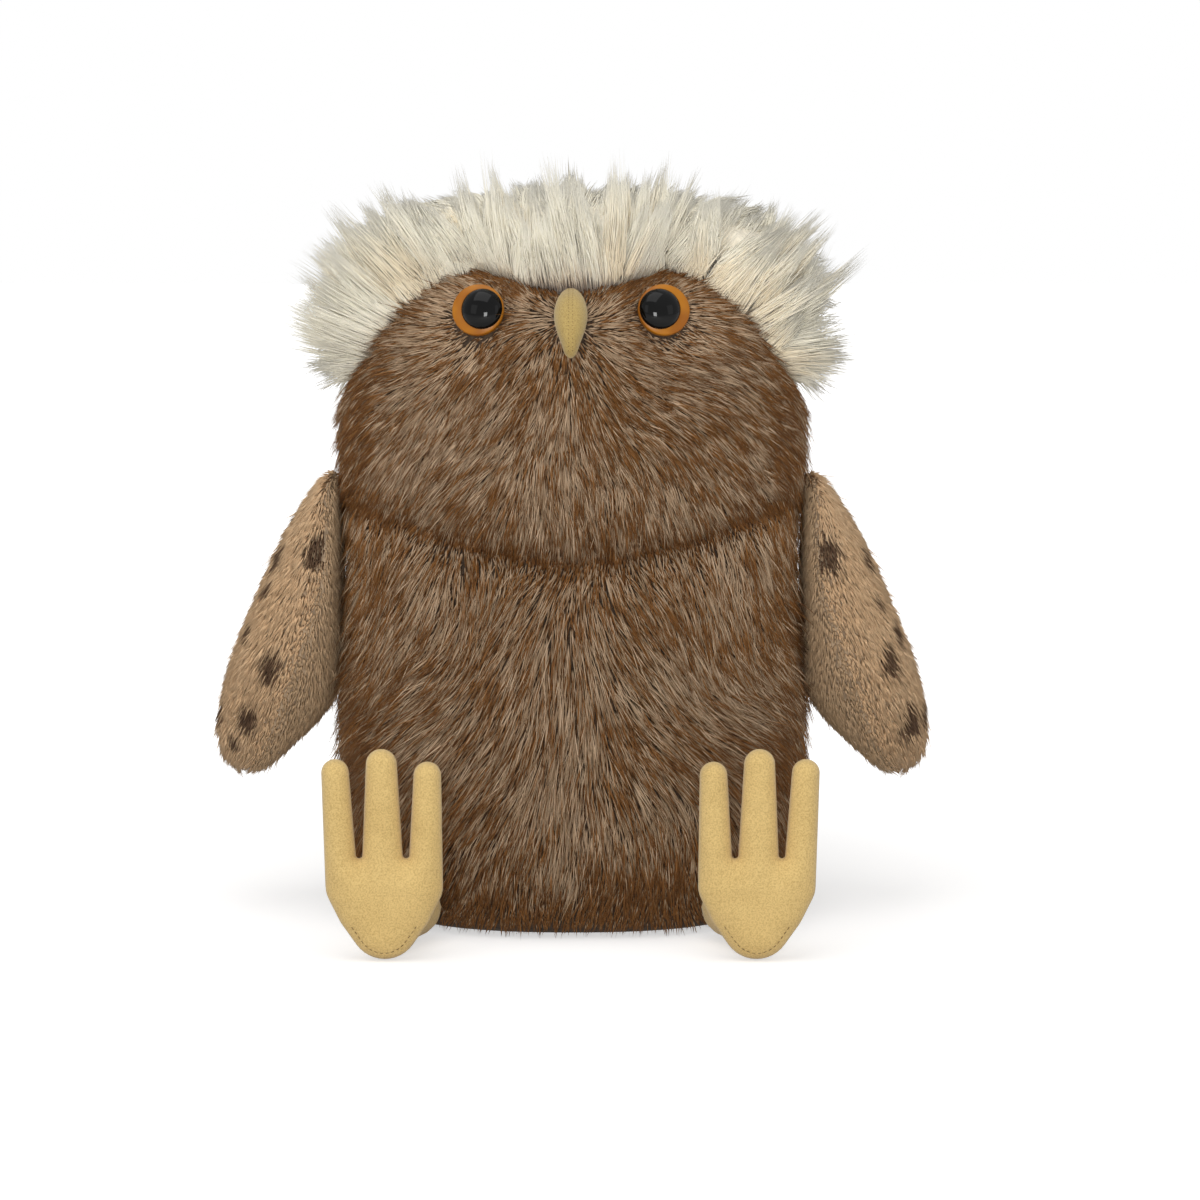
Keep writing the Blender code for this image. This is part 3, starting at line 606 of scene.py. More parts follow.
def attributesOf(tree, *names):
    made = [addNode(tree, "ShaderNodeAttribute", attribute_name=name) for name in names]
    return [Field(tree, node.outputs["Fac"]) for node in made]


def roughnessOf(kind, tone):
    start, span = pile[kind + "Roughness"]
    return start + tone * span


def shaded(colour, share):
    return tuple(part * share for part in colour[:3]) + (1.0,)


# The cloth under the pile, with painted shade in the gaps between its threads.
def underMaterial(name, colour, gapShade):
    made, tree, shader = newMaterial(name)
    grain = addGrain(
        tree, shader, pile["underGrain"], 4.0, pile["underDepth"], stretch=pile["underStretch"])
    share = smoothStep(tree, grain, *pile["underRise"])
    colour = mixColour(tree, share, shaded(colour, gapShade), colour)
    setShader(shader, colour, pile["underRoughness"])
    return made


# Frosted pile: grey-beige strands with rust-brown tips; tone sets how far down the rust comes.
def brownPileMaterial():
    made, tree, shader = newMaterial("brownPile")
    along, tone, shade = attributesOf(tree, "along", "tone", "shade")
    grey = mixColour(tree, shade, pile["greyDeep"], pile["greyPale"])
    # The darker root is partly the strand's own colour and partly painted shade.
    grey = fadeColour(tree, along, pile["greyFade"], pile["greyRootAndShade"], grey)
    rust = mixColour(tree, shade, pile["rustDeep"], pile["rustPale"])
    tip = along - (pile["tipStart"] + tone * pile["tipSpan"])
    share = smoothStep(tree, tip, -pile["tipBlur"], pile["tipBlur"])
    setShader(shader, mixColour(tree, share, grey, rust), roughnessOf("brown", tone), pile["shine"])
    return made


# White pile with cream patches in its depth and a rust tint at the brow line.
def whitePileMaterial():
    made, tree, shader = newMaterial("whitePile")
    along, tone, patch, tint = attributesOf(tree, "along", "tone", "patch", "tint")
    body = fadeColour(tree, along, pile["whiteFade"], pile["whiteRoot"], pile["whiteTip"])
    cream = smoothStep(tree, patch + tone * pile["creamTone"], *pile["creamRise"])
    cream = cream * smoothFall(tree, along, *pile["creamFall"])
    colour = mixColour(tree, cream * pile["creamAmount"], body, pile["cream"])
    tint = tint * smoothFall(tree, along, *pile["tintFall"])
    colour = mixColour(tree, tint, colour, pile["rustPale"])
    setShader(shader, colour, roughnessOf("white", tone), pile["shine"], pile["whiteSheen"])
    return made


def tanPileMaterial(name, darkness):
    made, tree, shader = newMaterial(name)
    along, tone, spot, shade = attributesOf(tree, "along", "tone", "spot", "shade")
    spot = spot + (shade - 0.5) * pile["spotRagged"]
    root, tip = shaded(pile["tanRoot"], darkness), shaded(pile["tanTip"], darkness)
    amount = pile["tanEven"] + tone * (1 - pile["tanEven"])
    body = fadeColour(tree, along, pile["tanFade"], root, tip, amount)
    share = smoothStep(tree, spot, *pile["spotRise"]) * pile["spotAmount"]
    setShader(shader, mixColour(tree, share, body, pile["spot"]), roughnessOf("tan", tone), pile["shine"])
    return made


# The whole skin of the trunk: base, body, head and woolly scalp as one padded form.
def makeTrunkSkin():
    turns = np.linspace(0, math.pi, trunk["skinColumns"])
    seams = (seamAtFloor, seamAtBase, seamAtChin, browPlace, seamAtTop)
    rings = []
    for low, high, rows in zip(seams, seams[1:], trunk["skinRows"]):
        grid = trunkGrid(low, high, turns, rows)
        half = grid["points"]
        if low is browPlace:
            half = half + crownReach(half) * woolShare(grid["share"], grid["turn"])[..., None]
            whiteFrom = len(rings) - 1
        for line in half[1 if rings else 0:]:
            rings.append(np.concatenate([line, mirrored(line[-2:0:-1])]))
    mesh = closedRings("trunk_skin", rings)
    mesh.materials.append(underMaterial("brownUnderpile", pile["shadedUnderBrown"], pile["brownGapShade"]))
    mesh.materials.append(underMaterial("whiteUnderpile", pile["underWhite"], pile["whiteGapShade"]))
    around = 2 * (len(turns) - 1)
    lastRing = (len(rings) - 1) * around
    whites = np.zeros(len(mesh.polygons), np.int32)
    whites[whiteFrom * around:lastRing] = 1
    whites[lastRing + 1::2] = 1  # the fan at the top
    mesh.polygons.foreach_set("material_index", whites)
    addPiece("trunk_skin", mesh, None, "trunk", ["base_panel"])
    print("trunk skin made")


# Every strand: its range of sizes, how it thins to its tip and how flat it is, and its
# cell of the OFBake map: how many times higher than wide, and the margins inside it.
strandShape = {
    "sizes": (0.75, 1.06),
    "taper": 0.75,
    "flatness": 0.6,
    "cellShape": 2.4,
    "cellMargin": 0.06,
    "cellFoot": 0.10,
}


# One strand of pile: a slim closed three-sided blade one unit long, standing on the origin.
def strandMesh(name, segments):
    shape = bmesh.new()
    uvLayer = shape.loops.layers.uv.new("strandUv")
    corners = [math.radians(angle) for angle in (90, 210, 330)]
    rings = [
        [shape.verts.new((math.cos(angle), math.sin(angle), segment / segments)) for angle in corners]
        for segment in range(segments)]
    tip = shape.verts.new((0.0, 0.0, 1.0))
    margin, cellFoot = strandShape["cellMargin"], strandShape["cellFoot"]

    def addFace(verts, spots):
        for loop, spot in zip(shape.faces.new(verts).loops, spots):
            loop[uvLayer].uv = spot

    def spotOf(column, row):
        along = row / segments
        return (margin + (1 - 2 * margin) * column / 3, cellFoot + (1 - cellFoot - margin) * along)

    for side in range(3):
        after = (side + 1) % 3
        for row in range(segments - 1):
            low, high = rings[row], rings[row + 1]
            spots = ((side, row), (side + 1, row), (side + 1, row + 1), (side, row + 1))
            addFace(
                (low[side], low[after], high[after], high[side]), [spotOf(*spot) for spot in spots])
        addFace(
            (rings[-1][side], rings[-1][after], tip),
            (spotOf(side, segments - 1), spotOf(side + 1, segments - 1),
             spotOf(side + 0.5, segments)))
    addFace(rings[0][::-1], ((margin, 0.0), (1 - margin, 0.0), (0.5, cellFoot * 0.8)))
    mesh = bpy.data.meshes.new(name)
    shape.to_mesh(mesh)
    shape.free()
    mesh.shade_smooth()
    return linkObject(name, mesh)


def kindOf(isVector):
    return "FLOAT_VECTOR" if isVector else "FLOAT"


def namedField(tree, name, isVector=False):
    node = addNode(tree, "GeometryNodeInputNamedAttribute", {"Name": name}, data_type=kindOf(isVector))
    return Field(tree, node.outputs["Attribute"], isVector)


def storedField(tree, geometry, name, field, kind=None, domain="POINT"):
    node = addNode(tree, "GeometryNodeStoreNamedAttribute", {
        "Geometry": geometry, "Name": name, "Value": field,
    }, data_type=kind or kindOf(field.isVector), domain=domain)
    return node.outputs["Geometry"]


def randomField(tree, seed, low=0.0, high=1.0):
    isVector = isinstance(low, tuple)
    lowSpot, highSpot, outSpot = (0, 1, 0) if isVector else (2, 3, 1)
    node = addNode(tree, "FunctionNodeRandomValue", {
        lowSpot: low, highSpot: high, "Seed": seed}, data_type=kindOf(isVector))
    return Field(tree, node.outputs[outSpot], isVector)


# The pelt tree: strands scattered over a skin, gathered into locks, bent from the
# skin's normal towards its combing direction.
def makePeltTree():
    tree, given, result = newTree("pelt", "GeometryNodeTree", {
        "Skin": "Geometry", "Strand": "Object", "Material": "Material", "Density": 1e6,
        "Lock Density": 1e5, "Length": 0.012, "Width": 0.0002, "Stand": 0.3, "Droop": 0.0,
        "Lock Pull": 0.5, "Lock Sway": 0.1, "Lock Variety": 0.1, "Sway": 0.1, "Wisp Share": 0.05,
        "Wisp Length": 1.3, "Wisp Pull": 0.5, "Wisp Sway": 0.2, "Tone Mix": 0.5, "Seed": 1,
    }, {"Pelt": "Geometry"})

    def value(name):
        return Field(tree, given[name])

    position = Field(tree, addNode(tree, "GeometryNodeInputPosition").outputs[0], True)
    index = Field(tree, addNode(tree, "GeometryNodeInputIndex").outputs[0])
    scatter = addNode(tree, "GeometryNodeDistributePointsOnFaces", {
        "Mesh": given["Skin"], "Density": value("Density") * namedField(tree, "cover"),
        "Seed": given["Seed"]})
    lockScatter = addNode(tree, "GeometryNodeDistributePointsOnFaces", {
        "Mesh": given["Skin"], "Density": given["Lock Density"], "Seed": value("Seed") + 7.0})
    locks = lockScatter.outputs["Points"]
    nearest = addNode(tree, "GeometryNodeSampleNearest", {"Geometry": locks}, domain="POINT")

    def fromLock(field):
        node = addNode(tree, "GeometryNodeSampleIndex", {
            "Geometry": locks, "Value": field, "Index": nearest.outputs["Index"],
        }, data_type=kindOf(field.isVector), domain="POINT")
        return Field(tree, node.outputs["Value"], field.isVector)

    lowest, highest = (-1.0, -1.0, -1.0), (1.0, 1.0, 1.0)
    lockSway = fromLock(randomField(tree, 11, lowest, highest))
    lockTone = fromLock(randomField(tree, 12))
    lockSize = fromLock(randomField(tree, 18, -1.0, 1.0))
    ownSway = randomField(tree, 13, lowest, highest)
    ownTone = randomField(tree, 14)
    isWisp = mathOf(tree, "LESS_THAN", randomField(tree, 15), value("Wisp Share"))

    def forWisp(plain, wisp):
        return plain + isWisp * (wisp - plain)

    size = randomField(tree, 16, *strandShape["sizes"]) * (1.0 + lockSize * value("Lock Variety"))
    length = value("Length") * namedField(tree, "pile") * size
    length = length * forWisp(1.0, value("Wisp Length"))
    comb = namedField(tree, "comb", True)
    toLock = fromLock(position) - position
    toLock = toLock - comb * vectorOf(tree, "DOT_PRODUCT", toLock, comb)
    pull = forWisp(value("Lock Pull"), value("Wisp Pull"))
    sway = lockSway * value("Lock Sway") + ownSway * forWisp(value("Sway"), value("Wisp Sway"))
    reach = (comb + sway) * length + toLock * pull
    reach = reach + combined(tree, 0.0, 0.0, length * value("Droop") * -1.0)
    rise = Field(tree, scatter.outputs["Normal"], True) * length * value("Stand")
    tone = lockTone * value("Tone Mix") + ownTone * (1.0 - value("Tone Mix"))
    tone = tone * namedField(tree, "light")

    points = scatter.outputs["Points"]
    for name, field in (
            ("rootPlace", position), ("reach", reach), ("rise", rise), ("tone", tone),
            ("shade", randomField(tree, 17)), ("strandNo", index)):
        points = storedField(tree, points, name, field)
    total = addNode(
        tree, "GeometryNodeAttributeDomainSize", {"Geometry": points}, component="POINTCLOUD")
    strand = addNode(tree, "GeometryNodeObjectInfo", {"Object": given["Strand"]})
    copies = addNode(tree, "GeometryNodeInstanceOnPoints", {
        "Points": points, "Instance": strand.outputs["Geometry"]})
    real = addNode(tree, "GeometryNodeRealizeInstances", {"Geometry": copies.outputs["Instances"]})

    # Each strand has its own cell of the OFBake map.
    rootPlace = namedField(tree, "rootPlace", True)
    local = position - rootPlace
    pelt = storedField(tree, real.outputs["Geometry"], "along", local.part(2))
    count = Field(tree, total.outputs["Point Count"])
    columns = mathOf(tree, "CEIL", mathOf(tree, "SQRT", count * strandShape["cellShape"]))
    rows = mathOf(tree, "CEIL", count.over(columns))
    number = namedField(tree, "strandNo")
    row = mathOf(tree, "FLOOR", (number + 0.5).over(columns))
    own = namedField(tree, "strandUv", True)
    u = (number - row * columns + own.part(0)).over(columns)
    cell = combined(tree, u, (row + own.part(1)).over(rows), 0.0)
    pelt = storedField(tree, pelt, "OFBake", cell, "FLOAT2", "CORNER")
    pelt = storedField(tree, pelt, "cross", local)

    # The strand follows a curve that leaves the skin along rise and ends at reach.
    along, cross = namedField(tree, "along"), namedField(tree, "cross", True)
    rise, reach = namedField(tree, "rise", True), namedField(tree, "reach", True)
    centre = rootPlace + rise * (along * (1.0 - along) * 2.0) + reach * (along * along)
    heading = rise * (2.0 - along * 4.0) + reach * (along * 2.0 + 0.02)
    sideways = vectorOf(tree, "NORMALIZE", vectorOf(tree, "CROSS_PRODUCT", reach, rise))
    upward = vectorOf(tree, "NORMALIZE", vectorOf(tree, "CROSS_PRODUCT", sideways, heading))
    girth = value("Width") * (1.0 - along * along * strandShape["taper"])
    place = centre + sideways * (cross.part(0) * girth)
    place = place + upward * (cross.part(1) * girth * strandShape["flatness"])
    moved = addNode(tree, "GeometryNodeSetPosition", {"Geometry": pelt, "Position": place})
    coated = addNode(tree, "GeometryNodeSetMaterial", {
        "Geometry": moved.outputs["Geometry"], "Material": given["Material"]})
    feed(result["Pelt"], coated.outputs["Geometry"])
    return tree


# The stitch tree: every short run of edges becomes a thread, as thick as its girth says.
def makeStitchTree():
    tree, given, result = newTree("stitches", "GeometryNodeTree", {
        "Runs": "Geometry", "Thickness": 0.00013, "Material": "Material",
    }, {"Stitches": "Geometry"})
    curves = addNode(tree, "GeometryNodeMeshToCurve", {"Mesh": given["Runs"]})
    circle = addNode(tree, "GeometryNodeCurvePrimitiveCircle", {
        "Resolution": 6, "Radius": given["Thickness"]})
    threads = addNode(tree, "GeometryNodeCurveToMesh", {
        "Curve": curves.outputs["Curve"], "Profile Curve": circle.outputs["Curve"],
        "Scale": namedField(tree, "girth"), "Fill Caps": True})
    real = addNode(tree, "GeometryNodeRealizeInstances", {"Geometry": threads.outputs["Mesh"]})
    sewn = addNode(tree, "GeometryNodeSetMaterial", {
        "Geometry": real.outputs["Geometry"], "Material": given["Material"]})
    feed(result["Stitches"], sewn.outputs["Geometry"])
    return tree


def socketId(tree, name):
    for item in tree.interface.items_tree:
        if item.item_type == "SOCKET" and item.in_out == "INPUT" and item.name == name:
            return item.identifier


# Runs a tree on a mesh and returns the result as a plain mesh, without its working values.
def harvest(name, tree, mesh, values):
    holder = linkObject("holder", mesh)
    modifier = holder.modifiers.new(tree.name, "NODES")
    modifier.node_group = tree
    for label, value in values.items():
        modifier[socketId(tree, label)] = value
    graph = bpy.context.evaluated_depsgraph_get()
    made = bpy.data.meshes.new_from_object(
        holder.evaluated_get(graph), preserve_all_data_layers=True, depsgraph=graph)
    bpy.data.objects.remove(holder, do_unlink=True)
    made.name = name
    for spare in ("rootPlace", "reach", "rise", "cross", "strandNo", "strandUv", "comb", "pile",
                  "cover", "light", "girth"):
        if spare in made.attributes:
            made.attributes.remove(made.attributes[spare])
    return made


def areaOf(mesh):
    shape = bmesh.new()
    shape.from_mesh(mesh)
    area = sum(face.calc_area() for face in shape.faces)
    shape.free()
    return area


# Grows one pelt on a skin that carries comb, pile, cover and light.
def growPelt(name, skin, count, settings, strand, coat, body, replaced):
    values = dict(settings)
    values["Density"] = count / areaOf(skin)
    values["Lock Density"] = 1.0 / values.pop("lockSize") ** 2
    values["Strand"] = strand
    values["Material"] = coat
    mesh = harvest(name, peltTree, skin, values)
    addPiece(name, mesh, None, body, replaced)
    print(name, len(mesh.polygons), "faces")


peltTree = makePeltTree()
bodyStrand = strandMesh("bodyStrand", 3)
shortStrand = strandMesh("shortStrand", 2)
brownPile = brownPileMaterial()
whitePile = whitePileMaterial()
makeTrunkSkin()


# Eyes and beak, where the part has them.
face = {
    "eyeSpread": 0.0267,
    "eyeHeight": 0.1820,
    "irisRadius": 0.0075,
    "beakMiddle": 0.1800,
}


def frontSurface(x, height):
    line = trunkPoints(np.linspace(0, math.pi / 2, trunk["samples"]), placeAtHeight(height))
    return np.array((x, np.interp(abs(x), line[:, 0], line[:, 1]), height))


def eyeCentre(side):
    return frontSurface(side * face["eyeSpread"], face["eyeHeight"])


# The brown pile: its combing, its length and its light, which thins the rust tips.
# The crease, flank, dart and hem entries lower the light as painted shade. In the pairs
# of pile and light stand the least share and its reach; in those of trims and shades, how
# much is lost at the place itself and how wide that is.
brownPelt = {
    "outAngle": math.radians(17),
    "swirlSize": 0.030,
    "swirlSeed": 3,
    "swirlTurn": 0.22,
    "fanHeight": 0.062,
    "fanReach": 0.030,
    "fanOut": 0.85,
    "fanFrom": 0.022,
    "sideOut": 0.25,
    "sideCalm": 0.7,
    "cheekOut": 0.4,
    "cheekShare": 0.7,
    "eyePush": 0.5,
    "eyePushReach": 0.009,
    "eyePile": (0.24, 0.008),
    "eyeBare": 0.0010,
    "eyeSpare": 0.0008,
    "eyeFactor": 1.3,
    "eyeLeast": 0.05,
    "beakWidth": 0.0048,
    "beakHeight": 0.0095,
    "beakDrop": 0.001,
    "beakBare": 0.75,
    "beakPile": (0.5, 1.6),
    "beakPileFrom": 0.8,
    "browHeight": 0.075,
    "browPile": (0.55, 0.010),
    "browLight": (0.25, 0.0080),
    "browLightFrom": 0.0015,
    "creaseShade": (0.9, 0.0036),
    "creaseTrim": (0.25, 0.006),
    "flankFrom": 0.55,
    "flankShade": 0.52,
    "partingWidth": 0.0042,
    "chestParting": 0.80,
    "faceParting": 0.05,
    "partingFoot": 0.012,
    "partingTop": 0.080,
    "partingTopSpan": 0.020,
    "dartPlace": 0.0450,
    "dartHeight": 0.0130,
    "dartWidth": 0.0012,
    "dartSpan": 0.006,
    "dartShade": 0.75,
    "dartTrim": 0.30,
    "cloudSize": 0.045,
    "cloudSeed": 9,
    "cloudMiddle": 0.88,
    "cloudSpan": 0.16,
    "hemHeight": 0.0180,
    "hemAngle": math.radians(52),
    "hemLight": (0.28, 0.040),
    "hemPile": (0.35, 0.016),
    "hemSpare": 0.0010,
    "hemFactor": 1.9,
}


# Combing directions over the surface, raised from it by the given angle.
def combVectors(grid, flow, outAngle):
    normal = grid["normal"]
    flow = flow - normal * np.sum(flow * normal, -1, keepdims=True)
    angle = outAngle[..., None]
    return unit(flow) * np.cos(angle) + normal * np.sin(angle)


def turned(grid, flow, angle):
    angle = angle[..., None]
    return flow * np.cos(angle) + np.cross(grid["normal"], flow) * np.sin(angle)


def chestFlow(grid):
    x, z = grid["points"][..., 0], grid["points"][..., 2]
    fan = bell(z - brownPelt["fanHeight"], brownPelt["fanReach"])
    outward = brownPelt["sideOut"] * x / trunk["halfWidth"]
    outward = outward + brownPelt["fanOut"] * fan * ease(x / brownPelt["fanFrom"])
    outward *= 1 - ease(grid["turn"] / (math.pi / 2) * 2 - 1) * brownPelt["sideCalm"]
    return -grid["upward"] + grid["across"] * outward[..., None]


def faceFlow(grid):
    points = grid["points"]
    radial = unit(points - frontSurface(0.0, face["beakMiddle"]))
    down = -grid["upward"] + grid["across"] * brownPelt["cheekOut"]
    share = ease(grid["turn"] / (math.pi / 2) * 1.6 - 0.6)[..., None]  # only on the cheek
    flow = blend(radial, down, share * brownPelt["cheekShare"])
    away = points - eyeCentre(1)
    gap = np.linalg.norm(away, axis=-1)
    push = np.clip(1 - (gap - face["irisRadius"]) / brownPelt["eyePushReach"], 0, 1)[..., None]
    return unit(flow) + unit(away) * push * brownPelt["eyePush"]


def backFlow(grid):
    return -grid["upward"]


# Pile, cover and light of the face: short and bare round the eyes and the beak, so that
# no strand crosses them, and rusty under the brow.
def faceShares(grid, flow, length):
    look = brownPelt
    points = grid["points"]
    away = points - eyeCentre(1)
    gap = np.linalg.norm(away, axis=-1) - face["irisRadius"]
    pileShare = rising(gap, *look["eyePile"])
    towards = -np.sum(unit(away) * flow, -1)
    cover = (gap > look["eyeBare"] + look["eyeBare"] * np.clip(towards, 0, 1)).astype(float)
    reachEye = (gap + look["eyeSpare"]) / (look["eyeFactor"] * length * np.maximum(towards, 0.1))
    pileShare = np.minimum(pileShare, np.maximum(reachEye, look["eyeLeast"]))
    beakDrop = points[..., 2] - face["beakMiddle"] + look["beakDrop"]
    aside = np.hypot(points[..., 0] / look["beakWidth"], beakDrop / look["beakHeight"])
    pileShare *= rising(aside - look["beakPileFrom"], *look["beakPile"])
    cover *= (aside > look["beakBare"]).astype(float)
    browGap = (1 - grid["share"]) * look["browHeight"]
    pileShare *= rising(browGap, *look["browPile"])
    return pileShare, cover, rising(browGap - look["browLightFrom"], *look["browLight"])


# One brown skin with its comb, pile, cover and light; the right side mirrors the left.
def brownSkin(side, section):
    look = brownPelt
    flowOf, length = section["flow"], section["length"]
    grid = trunkGrid(*section["grid"])
    points = grid["points"]
    flow = unit(flowOf(grid))
    worldPoints = points if side > 0 else mirrored(points)
    sway = swirl(worldPoints, look["swirlSize"], look["swirlSeed"]) * look["swirlTurn"] * side
    flow = turned(grid, flow, sway)
    across, height = points[..., 0], points[..., 2]
    outAngle = blend(look["outAngle"], look["hemAngle"], 1 - ease(height / look["hemHeight"]))
    comb = combVectors(grid, flow, outAngle)
    pileShare, cover, light = (np.ones(height.shape) for _ in range(3))
    if flowOf is faceFlow:
        pileShare, cover, light = faceShares(grid, flow, length)
    chinGap = np.abs(height - chinLine(grid["turn"]))
    isFront = ease(np.cos(grid["turn"]) * 2)
    # Painted shade in the chin crease, where the pile is also trimmed.
    for values, (loss, width) in ((light, look["creaseShade"]), (pileShare, look["creaseTrim"])):
        values *= 1 - loss * bell(chinGap, width) * isFront
    # Painted shade on the flanks.
    flank = ease((across / trunk["halfWidth"] - look["flankFrom"]) / (1 - look["flankFrom"])) * isFront
    light *= 1 - look["flankShade"] * flank
    parting = bell(across, look["partingWidth"]) * isFront
    if flowOf is chestFlow:
        span = ease((height - look["partingFoot"]) / look["partingFoot"])
        span = span * ease((look["partingTop"] - height) / look["partingTopSpan"])
        light *= 1 + look["chestParting"] * parting * span
    if flowOf is faceFlow:
        light *= 1 + look["faceParting"] * parting
        # Painted shade along the darts, where the pile is also trimmed.
        dart = bell(across - look["dartPlace"], look["dartWidth"])
        dart *= ease((chinLine(grid["turn"]) + look["dartHeight"] - height) / look["dartSpan"])
        light *= 1 - look["dartShade"] * dart * isFront
        pileShare *= 1 - look["dartTrim"] * dart * isFront
    cloud = swirl(worldPoints, look["cloudSize"], look["cloudSeed"])
    light *= look["cloudMiddle"] + look["cloudSpan"] * cloud
    # Painted shade: the pile's colour darkens towards the bottom, near the floor.
    light *= rising(height, *look["hemLight"])
    pileShare *= rising(height, *look["hemPile"])
    spare = (height + look["hemSpare"]) / (length * look["hemFactor"] * np.cos(outAngle))
    pileShare = np.minimum(pileShare, spare)
    if side < 0:
        points, comb = mirrored(points), mirrored(comb)
    mesh = meshFrom("skin", points.reshape(-1, 3), gridFaces(*height.shape, side < 0))
    storeValues(mesh, comb=comb, pile=pileShare * length, cover=cover, light=light)
    return mesh


frontTurns = np.linspace(0, math.pi / 2, 56)
backTurns = np.linspace(math.pi / 2, math.pi, 44)
brownSections = {
    "chest": {
        "grid": (seamAtBase, seamAtChin, frontTurns, 60), "flow": chestFlow, "length": 0.0135,
        "count": 11500, "strand": bodyStrand},
    "face": {
        "grid": (seamAtChin, browPlace, frontTurns, 56), "flow": faceFlow, "length": 0.0100,
        "count": 11500, "strand": bodyStrand},
    "back": {
        "grid": (seamAtBase, browPlace, backTurns, 70), "flow": backFlow, "length": 0.0135,
        "count": 9000, "strand": shortStrand},
}
brownSettings = {
    "Length": 1.0,
    "Width": 0.00022,
    "Stand": 0.22,
    "Droop": 0.03,
    "Lock Pull": 0.55,
    "Lock Sway": 0.16,
    "Sway": 0.13,
    "Wisp Share": 0.06,
    "Wisp Length": 1.2,
    "Wisp Pull": 0.55,
    "Wisp Sway": 0.26,
    "Tone Mix": 0.6,
    "lockSize": 0.0021,
}
for sectionNo, (sectionName, section) in enumerate(brownSections.items()):
    for word, side in sides.items():
        growPelt(
            f"{sectionName}_{word}_pelt", brownSkin(side, section), section["count"],
            {**brownSettings, "Seed": 10 * sectionNo + (1 if side > 0 else 2)}, section["strand"],
            brownPile, "trunk", [f"{sectionName}_{word}_panel"])


# The white crown: long locks that fan out from one point inside the head.
def crownSkin(side, turns):
    grid = trunkGrid(browPlace, seamAtTop, turns, crown["skinRows"])
    points, turn, share = grid["points"], grid["turn"], grid["share"]
    reach = crownReach(points)
    coat = coatShare(share, turn)
    rooted = woolShare(share, turn)[..., None]
    rooted = rooted * blend(crown["rootShare"], crown["coatRootShare"], coat[..., None])
    points = points + reach * rooted
    reach = reach * (1 - rooted)
    trim = 1 - crown["sideTrim"] * np.sin(turn) ** crown["sideTrimPower"]
    length = blend(np.linalg.norm(reach, axis=-1) * trim, crown["coatLength"], coat)
    upright = unit(reach)
    back = np.array(crown["coatWay"]) * np.ones(points.shape)
    back[..., 0] *= points[..., 0] / crown["halfWidth"]
    back = unit(back - upright * np.sum(back * upright, -1, keepdims=True))
    angle = blend(math.pi / 2, crown["coatAngle"], coat)[..., None]
    comb = back * np.cos(angle) + upright * np.sin(angle)
    hang = ease((turn - crown["hangFrom"]) / crown["hangSpan"])
    hang = crown["hang"] * hang * (1 - ease(share / crown["hangShare"]))
    comb = unit(comb - grid["upward"] * hang[..., None])
    worldPoints = points if side > 0 else mirrored(points)
    patch = 0.5 + 0.5 * swirl(worldPoints, crown["patchSize"], crown["patchSeed"])
    patch = patch * (1 - crown["coatPatchLoss"] * coat)
    tint = bell(points[..., 0], crown["browTintWidth"]) * bell(share, crown["browTintRise"])
    tint = tint * ease(np.cos(turn) * 3) * crown["browTint"]
    if side < 0:
        points, comb = mirrored(points), mirrored(comb)
    mesh = meshFrom("skin", points.reshape(-1, 3), gridFaces(*turn.shape, side < 0))
    storeValues(mesh, comb=comb, pile=length, cover=1.0, light=1.0, patch=patch, tint=tint)
    return mesh


crownSettings = {
    "Length": 0.89,
    "Width": 0.00024,
    "Stand": 0.25,
    "Droop": 0.02,
    "Lock Pull": 0.40,
    "Lock Sway": 0.26,
    "Lock Variety": 0.32,
    "Sway": 0.13,
    "Wisp Share": 0.50,
    "Wisp Length": 1.39,
    "Wisp Pull": 1.0,
    "Wisp Sway": 0.06,
    "Tone Mix": 0.6,
    "lockSize": 0.0052,
}
crownBackSettings = {
    **crownSettings, "Length": 1.0, "Width": 0.00027, "Lock Variety": 0.16, "Wisp Length": 1.10}
crownParts = {
    "front": (np.linspace(-0.06, 0.43 * math.pi, 60), 12200, bodyStrand, crownSettings),
    "back": (np.linspace(0.42 * math.pi, math.pi + 0.06, 70), 8500, shortStrand, crownBackSettings),
}
for partNo, (part, (turns, count, strand, settings)) in enumerate(crownParts.items()):
    for word, side in sides.items():
        growPelt(
            f"crown_{part}_{word}_pelt", crownSkin(side, turns), count,
            {**settings, "Seed": 41 + 2 * partNo + (side < 0)},
            strand, whitePile, "trunk", ["crown_panel"])


